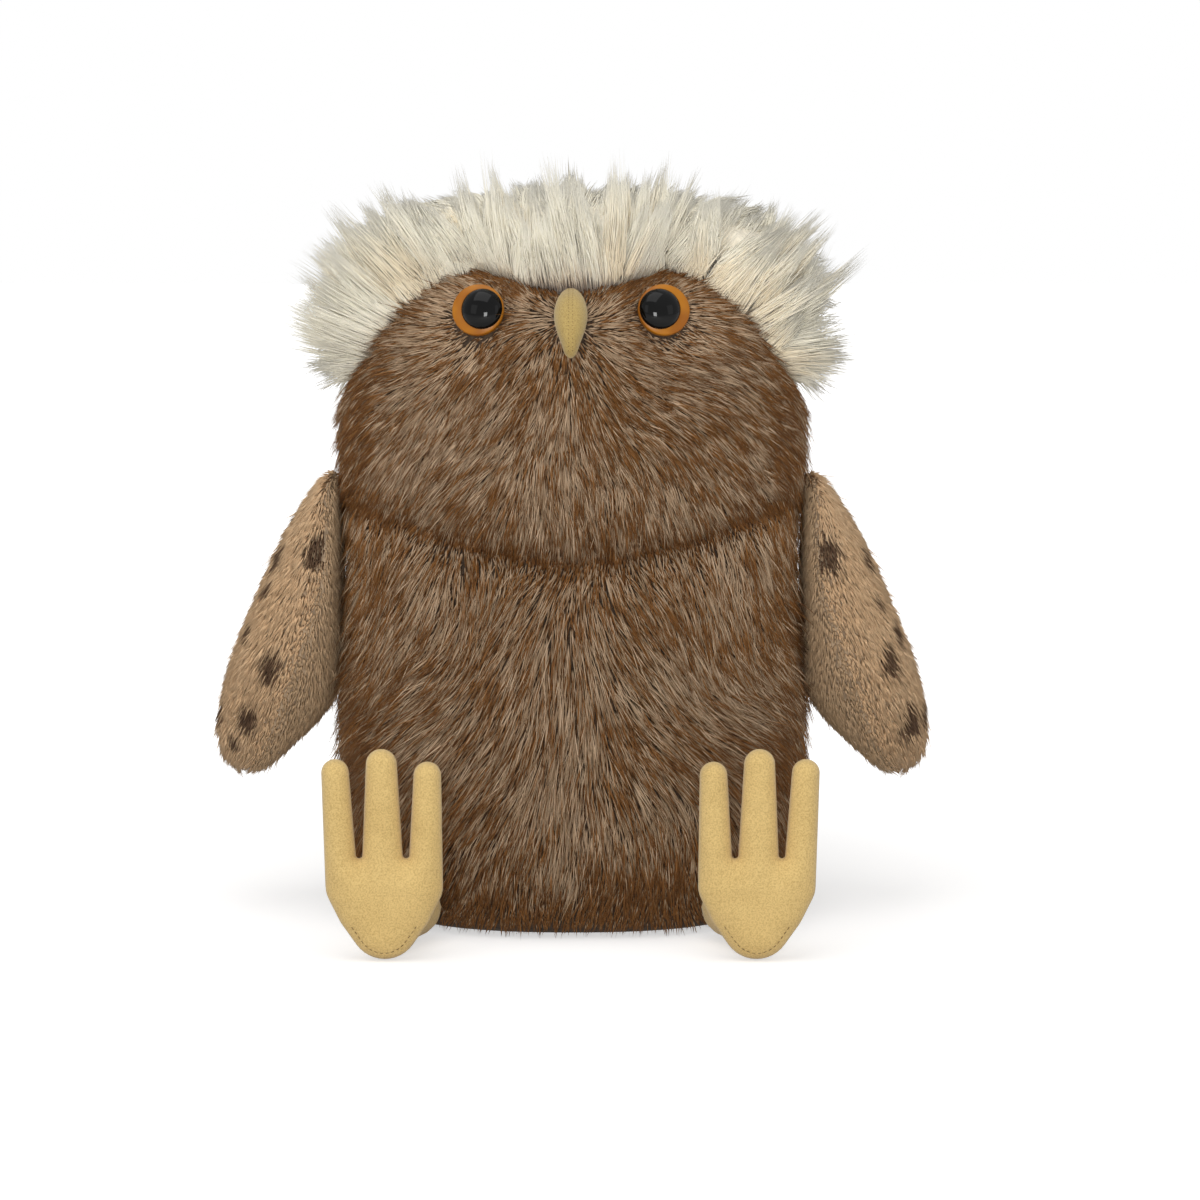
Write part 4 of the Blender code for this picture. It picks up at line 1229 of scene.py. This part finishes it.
# Wings: the part's own wing form under a short tan coat, spotted on its outer side.
wing = {
    "length": 0.0915,
    "depth": 0.0270,
    "bulge": 0.0105,
    "lean": math.radians(20),
    "rise": 0.0190,
    "rootRadius": 0.0022,
    "setback": 0.0020,
    "gap": 0.0003,
    "outerSquareness": 2.2,
    "innerSquareness": 2.8,
    "insetShare": 0.5,
    "skinInset": 0.0014,
    "skinRows": 60,
    "skinColumns": 48,
    "coatColumns": 30,
    "fill": 0.8,
    "outAngle": math.radians(20),
    "seamReach": 0.16,
    "seamSpare": 0.001,
    "seamShortAndShade": 0.6,
    "lightMiddle": 0.85,
    "smudgeSize": 0.016,
    "smudgeSeed": 51,
    "coats": {
        "outer": {"turn": 0.0, "count": 10500, "length": 0.0054, "smudge": 0.38, "seed": 64,
                  "darkness": 1.0, "slot": "wing_plush"},
        "inner": {"turn": math.pi, "count": 7000, "length": 0.0044, "smudge": 0.15, "seed": 60,
                  "darkness": 0.74, "slot": "wing_lining"},
    },
    # Along, outer bulge, seam, inner bulge and depth, as shares.
    "rings": (
        (-0.038, 0.02, 0.00, -0.02, 0.20),
        (-0.021, 0.12, 0.00, -0.12, 0.42),
        (0.000, 0.21, 0.00, -0.21, 0.52),
        (0.077, 0.44, -0.20, -0.47, 0.67),
        (0.220, 0.72, -0.62, -0.93, 0.84),
        (0.370, 0.86, -0.80, -1.42, 0.95),
        (0.520, 0.94, -0.84, -1.91, 1.00),
        (0.630, 0.98, -0.86, -2.16, 0.98),
        (0.720, 0.95, -0.86, -2.02, 0.91),
        (0.815, 0.85, -0.85, -1.66, 0.78),
        (0.905, 0.65, -0.80, -1.24, 0.60),
        (0.970, 0.30, -0.62, -0.90, 0.36),
        (1.000, -0.16, -0.40, -0.60, 0.12),
    ),
    # Spots seen from the front, across and up, with their radius.
    "frontSpots": {
        "left": ((0.0748, 0.1100, 0.0046), (0.0930, 0.0788, 0.0038), (0.0994, 0.0588, 0.0044),
                 (0.0890, 0.0960, 0.0022)),
        "right": ((0.0740, 0.1108, 0.0046), (0.0881, 0.0774, 0.0038), (0.0950, 0.0612, 0.0038),
                  (0.0890, 0.0988, 0.0026), (0.1000, 0.0530, 0.0022)),
    },
    # Spots on the side, ahead and up.
    "sideSpots": ((-0.008, 0.108, 0.0034), (0.011, 0.097, 0.0040), (-0.010, 0.086, 0.0030),
                  (0.006, 0.075, 0.0042), (0.019, 0.082, 0.0028), (-0.004, 0.062, 0.0036),
                  (0.014, 0.060, 0.0038), (0.003, 0.049, 0.0026), (0.003, 0.119, 0.0028)),
    "spotShape": (1.0, 1.0, 0.72),
    "spotReach": 1.4,
    "spotRagged": 0.15,
    "spotRaggedSize": 0.005,
    "spotRaggedSeed": 31,
}


# Angles 0 to 180 run over the outer side from the front seam, 180 to 360 over the inner.
def wingPoints(side, angle, place):
    inset = wing["skinInset"]
    angle, place = np.broadcast_arrays(angle, place)
    along, outer, seam, inner, depth = np.moveaxis(rowAt(wing["rings"], place), -1, 0)
    start = wing["rings"][0][0]
    shrink = 1 - 2 * inset / (wing["length"] * (1 - start))
    along = inset + wing["length"] * (start + (along - start) * shrink)
    seam = seam * wing["bulge"]
    isOuter = np.sin(angle) >= 0
    bulge = np.where(isOuter, outer * wing["bulge"] - seam, seam - inner * wing["bulge"])
    bulge = bulge * (1 - inset / wing["bulge"] * wing["insetShare"])
    power = 2 / np.where(isOuter, wing["outerSquareness"], wing["innerSquareness"])
    across = seam + bulge * signedPower(np.sin(angle), power)
    halfDepth = wing["depth"] * depth * (1 - inset / wing["depth"])
    y = -halfDepth * signedPower(np.cos(angle), 2 / wing["outerSquareness"])
    x = along * math.sin(wing["lean"]) + across * math.cos(wing["lean"])
    z = -along * math.cos(wing["lean"]) + across * math.sin(wing["lean"])
    height = trunk["chinHeight"] + wing["rise"]
    shoulder = trunkPoints(math.pi / 2, placeAtHeight(height))[0]
    out = shoulder + wing["gap"] + wing["rootRadius"]
    return np.stack([side * (out + x), wing["setback"] + y, height + z], -1)


def spotCentres(mesh, word, side):
    skinTree = BVHTree.FromPolygons(
        [vertex.co for vertex in mesh.vertices],
        [tuple(polygon.vertices) for polygon in mesh.polygons])
    away = 0.3
    rays = [((side * across, -away, up), (0, 1, 0), radius)
            for across, up, radius in wing["frontSpots"][word]]
    rays += [((side * away, ahead, up), (-side, 0, 0), radius)
             for ahead, up, radius in wing["sideSpots"]]
    centres = []
    for start, way, radius in rays:
        hit = skinTree.ray_cast(Vector(start), Vector(way))[0]
        if hit:
            centres.append((np.array(hit), radius))
    return centres


def spotShares(points, centres):
    shares = np.zeros(points.shape[:-1])
    ragged = 1 + wing["spotRagged"] * swirl(points, wing["spotRaggedSize"], wing["spotRaggedSeed"])
    for centre, radius in centres:
        gap = np.linalg.norm((points - centre) * wing["spotShape"], axis=-1) * ragged
        shares = np.maximum(shares, np.clip(wing["spotReach"] - gap / radius, 0, 1))
    return shares


def makeWing(word, side):
    last = len(wing["rings"]) - 1
    places = np.linspace(0, last, wing["skinRows"])[:, None]
    around = np.linspace(0, 2 * math.pi, wing["skinColumns"] + 1)[None, :-1]
    skin = closedRings(f"wing_{word}_skin", wingPoints(side, around, places))
    centres = spotCentres(skin, word, side)
    step = 0.01
    for coatWord, coat in wing["coats"].items():
        start, end = coat["turn"], coat["turn"] + math.pi
        angles = np.linspace(start, end, wing["coatColumns"])[None, :]
        angles = np.clip(angles, start + wing["seamSpare"], end - wing["seamSpare"])
        points = wingPoints(side, angles, places)
        down = wingPoints(side, angles, np.minimum(places + step, last))
        down = unit(down - wingPoints(side, angles, np.maximum(places - step, 0)))
        mesh = meshFrom("half", points.reshape(-1, 3), gridFaces(*points.shape[:2], side > 0))
        normal = np.empty(points.size)
        mesh.vertex_normals.foreach_get("vector", normal)
        comb = down * math.cos(wing["outAngle"])
        comb = comb + normal.reshape(points.shape) * math.sin(wing["outAngle"])
        # Near the seam the pile is shorter and its light lower: painted shade in the seam's groove.
        seamThinAndShade = 1 - wing["seamShortAndShade"] * bell(np.minimum(angles - start, end - angles), wing["seamReach"])
        smudge = coat["smudge"] * swirl(points, wing["smudgeSize"], wing["smudgeSeed"])
        light = (wing["lightMiddle"] + smudge) * seamThinAndShade
        length = coat["length"] * seamThinAndShade * np.ones(light.shape)
        spot = spotShares(points, centres) if coatWord == "outer" else 0.0
        storeValues(mesh, comb=comb, pile=length, cover=1.0, light=light, spot=spot)
        growPelt(
            f"wing_{word}_{coatWord}_pelt", mesh, coat["count"],
            {**wingSettings, "Seed": coat["seed"] + (1 if side > 0 else 2)},
            shortStrand, tanPiles[coatWord], f"wing_{word}",
            [f"wing_{word}_{coatWord}_panel"])
    addPiece(f"wing_{word}_skin", skin, tanUnder, f"wing_{word}")


wingSettings = {
    "Length": 1.0,
    "Width": 0.00036,
    "Stand": 0.20,
    "Droop": 0.0,
    "Lock Pull": 0.12,
    "Lock Sway": 0.06,
    "Sway": 0.14,
    "Wisp Share": 0.05,
    "Wisp Length": 1.25,
    "Wisp Pull": 0.12,
    "Wisp Sway": 0.30,
    "Tone Mix": 0.6,
    "lockSize": 0.0024,
}
tanUnder = underMaterial("tanUnderpile", pile["underTan"], pile["brownGapShade"])
tanPiles = {
    word: tanPileMaterial(f"{word}TanPile", coat["darkness"]) for word, coat in wing["coats"].items()}
for word, side in sides.items():
    makeWing(word, side)
for spare in (bodyStrand, shortStrand):
    bpy.data.objects.remove(spare, do_unlink=True)
print("wings made")


# Suedette: mustard nap with fine darker grains, and the thread that it is sewn with. The
# beak's copy is the same suedette made darker, as painted shade.
suedette = {
    "pale": (0.715, 0.513, 0.208, 1.0),
    "deep": (0.430, 0.280, 0.092, 1.0),
    "shadedBeakPale": (0.475, 0.343, 0.122, 1.0),
    "shadedBeakDeep": (0.310, 0.205, 0.065, 1.0),
    "threadPale": (0.26, 0.17, 0.06, 1),
    "threadDeep": (0.14, 0.085, 0.03, 1),
    "threadGrain": 3000.0,
    "threadDepth": 0.0001,
    "threadRoughness": 0.8,
    "grain": 2300.0,
    "grainDepth": 0.00025,
    "grainStrength": 0.8,
    "grainRise": (0.36, 0.72),
    "grainAmount": 0.62,
    "cloud": 60.0,
    "cloudRise": (0.4, 0.8),
    "cloudAmount": 0.2,
    "roughness": (0.82, 0.15),
    "shine": 0.15,
    "sheen": 0.25,
    "slot": "mustard_suedette",
}


def suedetteMaterial(name, pale, deep):
    made, tree, shader = newMaterial(name)
    grain = addGrain(
        tree, shader, suedette["grain"], 2.0, suedette["grainDepth"], suedette["grainStrength"])
    cloud = addGrain(tree, shader, suedette["cloud"], 3.0)
    share = smoothStep(tree, grain, *suedette["grainRise"]) * suedette["grainAmount"]
    share = share + smoothStep(tree, cloud, *suedette["cloudRise"]) * suedette["cloudAmount"]
    least, more = suedette["roughness"]
    setShader(
        shader, mixColour(tree, share, pale, deep), least + grain * more, suedette["shine"],
        suedette["sheen"])
    return made


def makeThreadMaterial():
    made, tree, shader = newMaterial("stitchThread")
    twist = addGrain(tree, shader, suedette["threadGrain"], 2.0, suedette["threadDepth"])
    colour = mixColour(tree, twist, suedette["threadDeep"], suedette["threadPale"])
    setShader(shader, colour, suedette["threadRoughness"])
    return made


footSuedette = suedetteMaterial("mustardSuedette", suedette["pale"], suedette["deep"])
# A darker copy for the beak: painted shade.
beakSuedette = suedetteMaterial("beakSuedette", suedette["shadedBeakPale"], suedette["shadedBeakDeep"])
threadMaterial = makeThreadMaterial()
stitchTree = makeStitchTree()


# Stitches from pairs of ends: each is a straight run that narrows at both ends.
def addStitches(name, runs, radius, body):
    points = []
    for start, end in runs:
        tip = unit(end - start) * radius
        points += [start, start + tip, end - tip, end]
    edges = [(index, index + 1) for index in range(len(points)) if index % 4 < 3]
    mesh = meshFrom(name, points, [], edges)
    storeValues(mesh, girth=np.tile((0.55, 1.0, 1.0, 0.55), len(runs)))
    mesh = harvest(name, stitchTree, mesh, {"Thickness": radius, "Material": threadMaterial})
    mesh.shade_smooth()
    addPiece(name, mesh, None, body)


# Feet: upright three-toed pillows, seen from the sole.
foot = {
    "height": 0.0600,
    "ahead": 0.0785,
    "spread": 0.0525,
    "lift": 0.0002,
    "palmThickness": 0.0054,
    "toeThickness": 0.0041,
    "toeReach": 0.0039,
    "palmReach": 0.0090,
    "swellHeight": 0.0240,
    "swellRun": 0.0160,
    "fill": 0.8,
    "tipRadius": 0.0039,
    "crotchRadius": 0.0009,
    "netPitch": 0.0012,
    "netRims": (0.30, 0.85),
    "netSpare": 1.4,
    "arcStep": math.radians(9),
    "puckers": 0.00012,
    "puckerSize": 0.007,
    "puckerSeed": 71,
    "puckerReach": 0.002,
    # Round corners: across, up (shares of the height), radius as a share of a toe tip's.
    "corners": (
        (0.000, 0.162, 2.49),
        (0.0675, 0.256, 2.47),
        (0.136, 0.350, 2.16),
        (0.227, 0.887, 1.00),
        (0.117, 0.497, -0.23),
        (0.010, 0.927, 1.12),
        (-0.103, 0.497, -0.23),
        (-0.205, 0.875, 1.00),
        (-0.136, 0.350, 2.16),
        (-0.0675, 0.256, 2.47),
    ),
    "legGap": 0.0002,
    "legReach": 0.0060,
    "legNet": 0.0008,
    "legRounds": 4,
    "legFill": 0.7,
    "heelHeight": 0.17,
    "heelTurn": -0.2,
    "stitchInset": 0.0024,
    "stitchStep": 0.0016,
    "stitchLength": 0.0009,
    "stitchRadius": 0.00013,
    "stitchRise": 0.3,
}


# The sole's outline and its outward normals: round corners and the runs that touch them.
def soleOutline():
    corners = [(np.array((across, up)) * foot["height"],
                radius * foot["tipRadius"] if radius > 0 else -foot["crotchRadius"])
               for across, up, radius in foot["corners"]]
    ways = []
    for (place, radius), (after, afterRadius) in zip(corners, corners[1:] + corners[:1]):
        run = after - place
        swing = math.asin((radius - afterRadius) / np.linalg.norm(run))
        ways.append(math.atan2(run[1], run[0]) + swing)
    line = []
    for index, (place, radius) in enumerate(corners):
        begin, end = ways[index - 1] - math.pi / 2, ways[index] - math.pi / 2
        change = (end - begin + math.pi) % (2 * math.pi) - math.pi
        if radius > 0 and change < 0:
            change += 2 * math.pi
        steps = max(2, round(abs(change) / foot["arcStep"]))
        for step in range(steps + 1):
            angle = begin + change * step / steps
            normal = np.array((math.cos(angle), math.sin(angle)))
            line.append((place + normal * radius, normal))
    spaced = []
    for (point, normal), (after, _) in zip(line, line[1:] + line[:1]):
        run = after - point
        steps = max(1, int(np.linalg.norm(run) / foot["netPitch"]))
        spaced += [(point + run * step / steps, normal) for step in range(steps)]
    return np.array([point for point, _ in spaced]), np.array([normal for _, normal in spaced])


# Distance to a closed line and whether each point is inside it.
def edgeGaps(points, line):
    starts, runs = line, np.roll(line, -1, 0) - line
    off = points[:, None] - starts[None]
    share = np.clip(np.sum(off * runs, -1) / np.maximum(np.sum(runs * runs, -1), 1e-16), 0, 1)
    gaps = np.linalg.norm(off - runs * share[..., None], axis=-1).min(1)
    ends = starts + runs
    crosses = (starts[:, 1] > points[:, None, 1]) != (ends[:, 1] > points[:, None, 1])
    rise = np.where(np.abs(runs[:, 1]) < 1e-12, 1e-12, runs[:, 1])
    at = starts[:, 0] + runs[:, 0] * (points[:, None, 1] - starts[:, 1]) / rise
    inside = (crosses & (points[:, None, 0] < at)).sum(1) % 2 == 1
    return gaps, inside


def soleSwell(points, gaps):
    palm = ease((foot["swellHeight"] + foot["swellRun"] - points[:, 1]) / foot["swellRun"])
    full = blend(foot["toeThickness"], foot["palmThickness"], palm)
    rest = 1 - np.minimum(gaps / blend(foot["toeReach"], foot["palmReach"], palm), 1)
    return full * np.sqrt(np.maximum(1 - rest * rest, 0))


def footPlace(side, flat, lift, facing):
    return np.stack([
        side * (foot["spread"] + flat[:, 0]),
        -foot["ahead"] + facing * lift,
        foot["lift"] + flat[:, 1]], -1)


# Ends of the stitches along the heel, a little inside the sole's outline.
def heelRuns(side, line, normals):
    seam = line - normals * foot["stitchInset"]
    isHeel = (seam[:, 1] < foot["height"] * foot["heelHeight"]) & (normals[:, 1] < foot["heelTurn"])
    heel = seam[isHeel]
    heel = heel[np.argsort(heel[:, 0])]
    travel = travelAlong(heel)
    runs = []
    for start in np.arange(0, travel[-1] - foot["stitchLength"], foot["stitchStep"]):
        ends = []
        for way in (start, start + foot["stitchLength"]):
            spot = np.array([[np.interp(way, travel, heel[:, axis]) for axis in (0, 1)]])
            lift = soleSwell(spot, edgeGaps(spot, line)[0]) + foot["stitchRadius"] * foot["stitchRise"]
            ends.append(footPlace(side, spot, lift, -1)[0])
        runs.append(ends)
    return runs


def makeFoot(word, side):
    line, normals = soleOutline()
    pitch = foot["netPitch"]
    rows = [line] + [line - normals * pitch * depth for depth in foot["netRims"]]
    reach = int(foot["height"] / pitch)
    grid = np.array([
        ((column + 0.5 * (row % 2)) * pitch, row * pitch)
        for row in range(reach + 1) for column in range(-reach // 2, reach // 2 + 1)])
    gaps, inside = edgeGaps(grid, line)
    points = np.concatenate(rows + [grid[inside & (gaps > pitch * foot["netSpare"])]])
    rim = [(index, (index + 1) % len(line)) for index in range(len(line))]
    flat, _, triangles, _, _, _ = delaunay_2d_cdt([Vector(point) for point in points], rim, [], 1, 1e-6)
    flat = np.array([tuple(point) for point in flat])
    gaps, _ = edgeGaps(flat, line)
    level = np.stack([flat[:, 0], flat[:, 1], 0 * gaps], -1)
    puckers = foot["puckers"] * swirl(level, foot["puckerSize"], foot["puckerSeed"])
    swell = soleSwell(flat, gaps) + puckers * np.clip(gaps / foot["puckerReach"], 0, 1)
    isRim = gaps < 1e-6
    backOf = np.where(isRim, np.arange(len(flat)), len(flat) + np.cumsum(~isRim) - 1)
    whole = np.concatenate([
        footPlace(side, flat, swell, -1), footPlace(side, flat[~isRim], swell[~isRim], 1)])
    faces = [tuple(face) for face in triangles]
    faces += [tuple(int(backOf[corner]) for corner in reversed(face)) for face in triangles]
    addPiece(
        f"foot_{word}_cloth", closedMesh(f"foot_{word}_cloth", whole, faces), footSuedette,
        f"foot_{word}", [f"foot_{word}_sole_panel", f"foot_{word}_back_panel"])
    runs = heelRuns(side, line, normals)
    addStitches(f"foot_{word}_stitches", runs, foot["stitchRadius"], f"foot_{word}")


# Legs: the part's sleeves with an even, softer net, drawn out to touch the feet.
def makeLeg(word):
    sleeve = f"leg_{word}_sleeve"
    shape = bmesh.new()
    for node in (sleeve, f"leg_{word}_stuffing"):
        shape.from_mesh(nodes[node].data)
    mesh = bpy.data.meshes.new("leg")
    shape.to_mesh(mesh)
    shape.free()
    holder = linkObject("leg", mesh)
    remesh = holder.modifiers.new("remesh", "REMESH")
    remesh.mode = "VOXEL"
    remesh.voxel_size = foot["legNet"]
    holder.modifiers.new("soften", "SMOOTH").iterations = foot["legRounds"]
    graph = bpy.context.evaluated_depsgraph_get()
    cloth = bpy.data.meshes.new_from_object(holder.evaluated_get(graph))
    bpy.data.objects.remove(holder, do_unlink=True)
    cloth.name = f"leg_{word}_cloth"
    cloth.materials.clear()
    cloth.shade_smooth()
    points = np.empty(len(cloth.vertices) * 3)
    cloth.vertices.foreach_get("co", points)
    y = points[1::3]
    tip = y.min()
    gap = tip - (-foot["ahead"] + foot["palmThickness"]) - foot["legGap"]
    y -= gap * ease((tip + foot["legReach"] - y) / foot["legReach"])
    cloth.vertices.foreach_set("co", points)
    cloth.update()
    addPiece(cloth.name, cloth, footSuedette, f"leg_{word}", [sleeve])


for word, side in sides.items():
    makeFoot(word, side)
for word in sides:
    makeLeg(word)
print("feet and legs made")


# Beak: a stuffed drop with a sewn ridge.
beak = {
    "top": 0.1876,
    "length": 0.0184,
    "halfWidth": 0.0048,
    "halfDepth": 0.0048,
    "reach": 0.0150,
    "slant": 0.5,
    "pinch": 0.09,
    "pinchSpan": 0.20,
    "skinRows": 50,
    "skinColumns": 72,
    "fill": 0.9,
    "ridgeSamples": 200,
    "ridgeFrom": 0.6,
    "ridgeSpare": 0.5,
    "stitchPlace": (0.00045, -0.00018, 0.0),
    "stitchRun": (0.00028, 0.00006, 0.0),
    "stitchStep": 0.0012,
    "stitchRadius": 0.00014,
    # Drop, reach, width and depth, as shares.
    "rings": (
        (0.00, 0.00, 0.28, 0.22),
        (0.06, 0.10, 0.58, 0.52),
        (0.20, 0.34, 0.88, 0.90),
        (0.38, 0.58, 1.00, 1.00),
        (0.58, 0.80, 0.86, 0.92),
        (0.78, 0.94, 0.58, 0.74),
        (0.93, 1.00, 0.38, 0.52),
        (1.00, 1.01, 0.16, 0.20),
    ),
}


# Angle 0 is the ridge that faces forward, 180 degrees the beak's back.
def beakPoints(angle, place):
    angle, place = np.broadcast_arrays(angle, place)
    drop, reach, width, depth = np.moveaxis(rowAt(beak["rings"], place), -1, 0)
    root = frontSurface(0.0, beak["top"])
    x = beak["halfWidth"] * width * np.sin(angle)
    turn = np.minimum(angle, 2 * math.pi - angle)
    pinch = 1 - beak["pinch"] * bell(turn, beak["pinchSpan"])
    ahead = beak["halfDepth"] * depth * np.cos(angle) * pinch
    y = root[1] - beak["reach"] * reach - ahead
    z = beak["top"] - beak["length"] * drop + ahead * beak["slant"]
    return np.stack([x, y, z], -1)


def makeBeak():
    last = len(beak["rings"]) - 1
    places = np.linspace(0, last, beak["skinRows"])[:, None]
    angles = np.linspace(0, 2 * math.pi, beak["skinColumns"] + 1)[None, :-1]
    addPiece(
        "beak_cloth", closedRings("beak_cloth", beakPoints(angles, places)), beakSuedette, "trunk",
        ["beak_left_panel", "beak_right_panel"])
    ridgePlaces = np.linspace(beak["ridgeFrom"], last - beak["ridgeSpare"], beak["ridgeSamples"])
    ridge = beakPoints(0.0, ridgePlaces)
    travel = travelAlong(ridge)
    runs = []
    for start in np.arange(0, travel[-1], beak["stitchStep"]):
        spot = np.array([np.interp(start, travel, ridge[:, axis]) for axis in range(3)])
        for side in (-1, 1):
            place = spot + np.array(beak["stitchPlace"]) * (side, 1, 1)
            runs.append((place, place + np.array(beak["stitchRun"]) * (side, 1, 1)))
    addStitches("beak_stitches", runs, beak["stitchRadius"], "trunk")


makeBeak()
print("beak made")


# Eyes: a glossy black dome in an amber ring.
eyes = {
    "yaw": math.radians(10),
    "pitch": math.radians(16),
    # The ring from back to front: how far in from the iris radius, and how high.
    "ring": ((0.0004, -0.0024), (0.0, -0.0018), (0.0, -0.0003), (0.00012, -0.00005),
             (0.0004, 0.0001), (0.0021, 0.0006)),
    "pupilRadius": 0.0060,
    "pupilShift": 0.0013,
    "pupilHeight": 0.0036,
    "pupilFoot": 0.0003,
    "pupilBack": 0.0002,
    "rows": 14,
    "columns": 64,
    "amber": {"pale": (0.42, 0.155, 0.010, 1), "deep": (0.30, 0.095, 0.006, 1),
              "roughness": 0.30, "shine": 0.2},
    "black": {"pale": (0.003, 0.003, 0.003, 1), "deep": (0.001, 0.001, 0.001, 1),
              "roughness": 0.03, "shine": 0.16},
    "cloud": 120.0,
    "cloudRise": (0.3, 0.7),
    "cloudRoughness": 0.04,
}


# A form turned about an axis from rows of radius and height, closed at two end heights.
def turnedMesh(name, outline, centre, way, endHeights):
    axis = Vector(way).normalized()
    first = axis.orthogonal().normalized()
    second = axis.cross(first)
    angles = np.linspace(0, 2 * math.pi, eyes["columns"] + 1)[:-1, None]
    spokes = np.cos(angles) * np.array(first) + np.sin(angles) * np.array(second)
    rings = [centre + np.array(axis) * height + spokes * radius for radius, height in outline]
    return closedRings(name, rings, [centre + np.array(axis) * height for height in endHeights])


def plasticMaterial(name, pale, deep, roughness, shine):
    made, tree, shader = newMaterial(name)
    cloud = addGrain(tree, shader, eyes["cloud"], 2.0)
    colour = mixColour(tree, smoothStep(tree, cloud, *eyes["cloudRise"]), pale, deep)
    setShader(shader, colour, roughness + cloud * eyes["cloudRoughness"], shine)
    return made


amber = plasticMaterial("amberPlastic", **eyes["amber"])
black = plasticMaterial("blackPlastic", **eyes["black"])
ring = [(face["irisRadius"] - inward, height) for inward, height in eyes["ring"]]
dome = []
for step in range(eyes["rows"]):
    angle = math.pi / 2 * step / eyes["rows"]
    height = eyes["pupilFoot"] + (eyes["pupilHeight"] - eyes["pupilFoot"]) * math.sin(angle)
    dome.append((eyes["pupilRadius"] * math.cos(angle), height))
for word, side in sides.items():
    yaw, pitch = eyes["yaw"], eyes["pitch"]
    way = (side * math.sin(yaw) * math.cos(pitch), -math.cos(yaw) * math.cos(pitch), math.sin(pitch))
    centre = eyeCentre(side)
    mesh = turnedMesh(f"eye_{word}_ring", ring, centre, way, (ring[0][1], ring[-1][1]))
    addPiece(mesh.name, mesh, amber, "trunk", [f"eye_{word}_iris"])
    centre = centre + np.array((-side * eyes["pupilShift"], 0, 0))
    mesh = turnedMesh(f"eye_{word}_dome", dome, centre, way, (eyes["pupilBack"], eyes["pupilHeight"]))
    addPiece(mesh.name, mesh, black, "trunk", [f"eye_{word}_pupil"])
print("eyes made")


# Inner pieces stay as they are and get their own cloth and plastic, by their names' ends.
inner = {
    "stuffing": ("waddingFibre", (0.85, 0.85, 0.84, 1), (0.72, 0.72, 0.70, 1), 400.0),
    "pouch": ("pouchWeave", (0.60, 0.57, 0.50, 1), (0.42, 0.39, 0.33, 1), 800.0),
    "washer": ("washerPlastic", (0.80, 0.80, 0.78, 1), (0.74, 0.74, 0.72, 1), 90.0),
}
for ending, (materialName, pale, deep, scale) in inner.items():
    made, tree, shader = newMaterial(materialName)
    cloud = addGrain(tree, shader, scale, 4.0, 0.0006)
    setShader(shader, mixColour(tree, cloud, deep, pale), 0.9)
    for name, node in nodes.items():
        if name.endswith(ending):
            node.data.materials.clear()
            node.data.materials.append(made)


# Studio: a white floor and surround and soft lamps above, in front and at both sides.
studio = {
    "world": 0.54,
    "floorReach": 6.0,
    "floorColour": (0.70, 0.69, 0.68, 1.0),
    "floorLift": 0.54,
    "fadeStart": 0.12,
    "fadeEnd": 0.45,
    "focalPixels": 3833,
    "framePixels": 1200,
    "sensor": 36.0,
    "cameraPlace": (0.0083, -1.1426, 0.2235),
    "cameraDip": math.radians(6.5),
    # Place, target, size and power of each lamp.
    "lamps": {
        "topLight": ((-0.2, -0.4, 1.3), (0, 0, 0.1), (1.0, 1.0), 5.6),
        "frontLight": ((-0.05, -1.25, 0.24), (0, 0, 0.16), (0.24, 0.30), 5.4),
        "leftLight": ((-1.1, -1.2, 0.7), (0, 0, 0.1), (0.6, 0.8), 1.2),
        "rightLight": ((1.2, -1.0, 0.6), (0, 0, 0.1), (0.6, 0.8), 1.0),
    },
}


# 1 on rays that show the surround itself, 0 on rays that only bring its light.
def seenShare(tree):
    rays = addNode(tree, "ShaderNodeLightPath").outputs
    seen = Field(tree, rays["Is Camera Ray"]) + rays["Is Glossy Ray"]
    return mathOf(tree, "MINIMUM", seen + rays["Is Transmission Ray"], 1.0)


def makeFloor():
    reach = studio["floorReach"]
    corners = [(-reach, -reach, 0), (reach, -reach, 0), (reach, reach, 0), (-reach, reach, 0)]
    mesh = meshFrom("floor", corners, [(0, 1, 2, 3)])
    made, tree, shader = newMaterial("paleFloor")
    setShader(shader, studio["floorColour"], 0.9, 0.0)
    shader.inputs["Emission Color"].default_value = (1, 1, 1, 1)
    place = Field(tree, addNode(tree, "ShaderNodeTexCoord").outputs["Object"], True)
    fade = smoothStep(tree, vectorOf(tree, "LENGTH", place), studio["fadeStart"], studio["fadeEnd"])
    lift = studio["floorLift"] + fade * (1.0 - studio["floorLift"])
    feed(shader.inputs["Emission Strength"], seenShare(tree) * lift)
    mesh.materials.append(made)
    linkObject("floor", mesh)


def makeWorld():
    world = bpy.data.worlds.new("studio")
    bpy.context.scene.world = world
    world.use_nodes = True
    tree = world.node_tree
    background = tree.nodes["Background"]
    background.inputs["Color"].default_value = (1, 1, 1, 1)
    feed(background.inputs["Strength"], studio["world"] + seenShare(tree) * (1.0 - studio["world"]))


def addLamp(name, place, target, size, power):
    data = bpy.data.lights.new(name, "AREA")
    data.shape = "RECTANGLE"
    data.size, data.size_y = size
    data.energy = power
    lamp = linkObject(name, data)
    lamp.location = place
    way = Vector(target) - Vector(place)
    lamp.rotation_euler = way.to_track_quat("-Z", "Y").to_euler()


def makeCamera():
    data = bpy.data.cameras.new("camera")
    data.sensor_width = studio["sensor"]
    data.lens = studio["sensor"] * studio["focalPixels"] / studio["framePixels"]
    camera = linkObject("camera", data)
    camera.location = studio["cameraPlace"]
    camera.rotation_euler = (math.pi / 2 - studio["cameraDip"], 0, 0)
    bpy.context.scene.camera = camera


makeFloor()
makeWorld()
for name, lamp in studio["lamps"].items():
    addLamp(name, *lamp)
makeCamera()
bpy.context.scene.view_settings.view_transform = "Standard"
print("studio made")
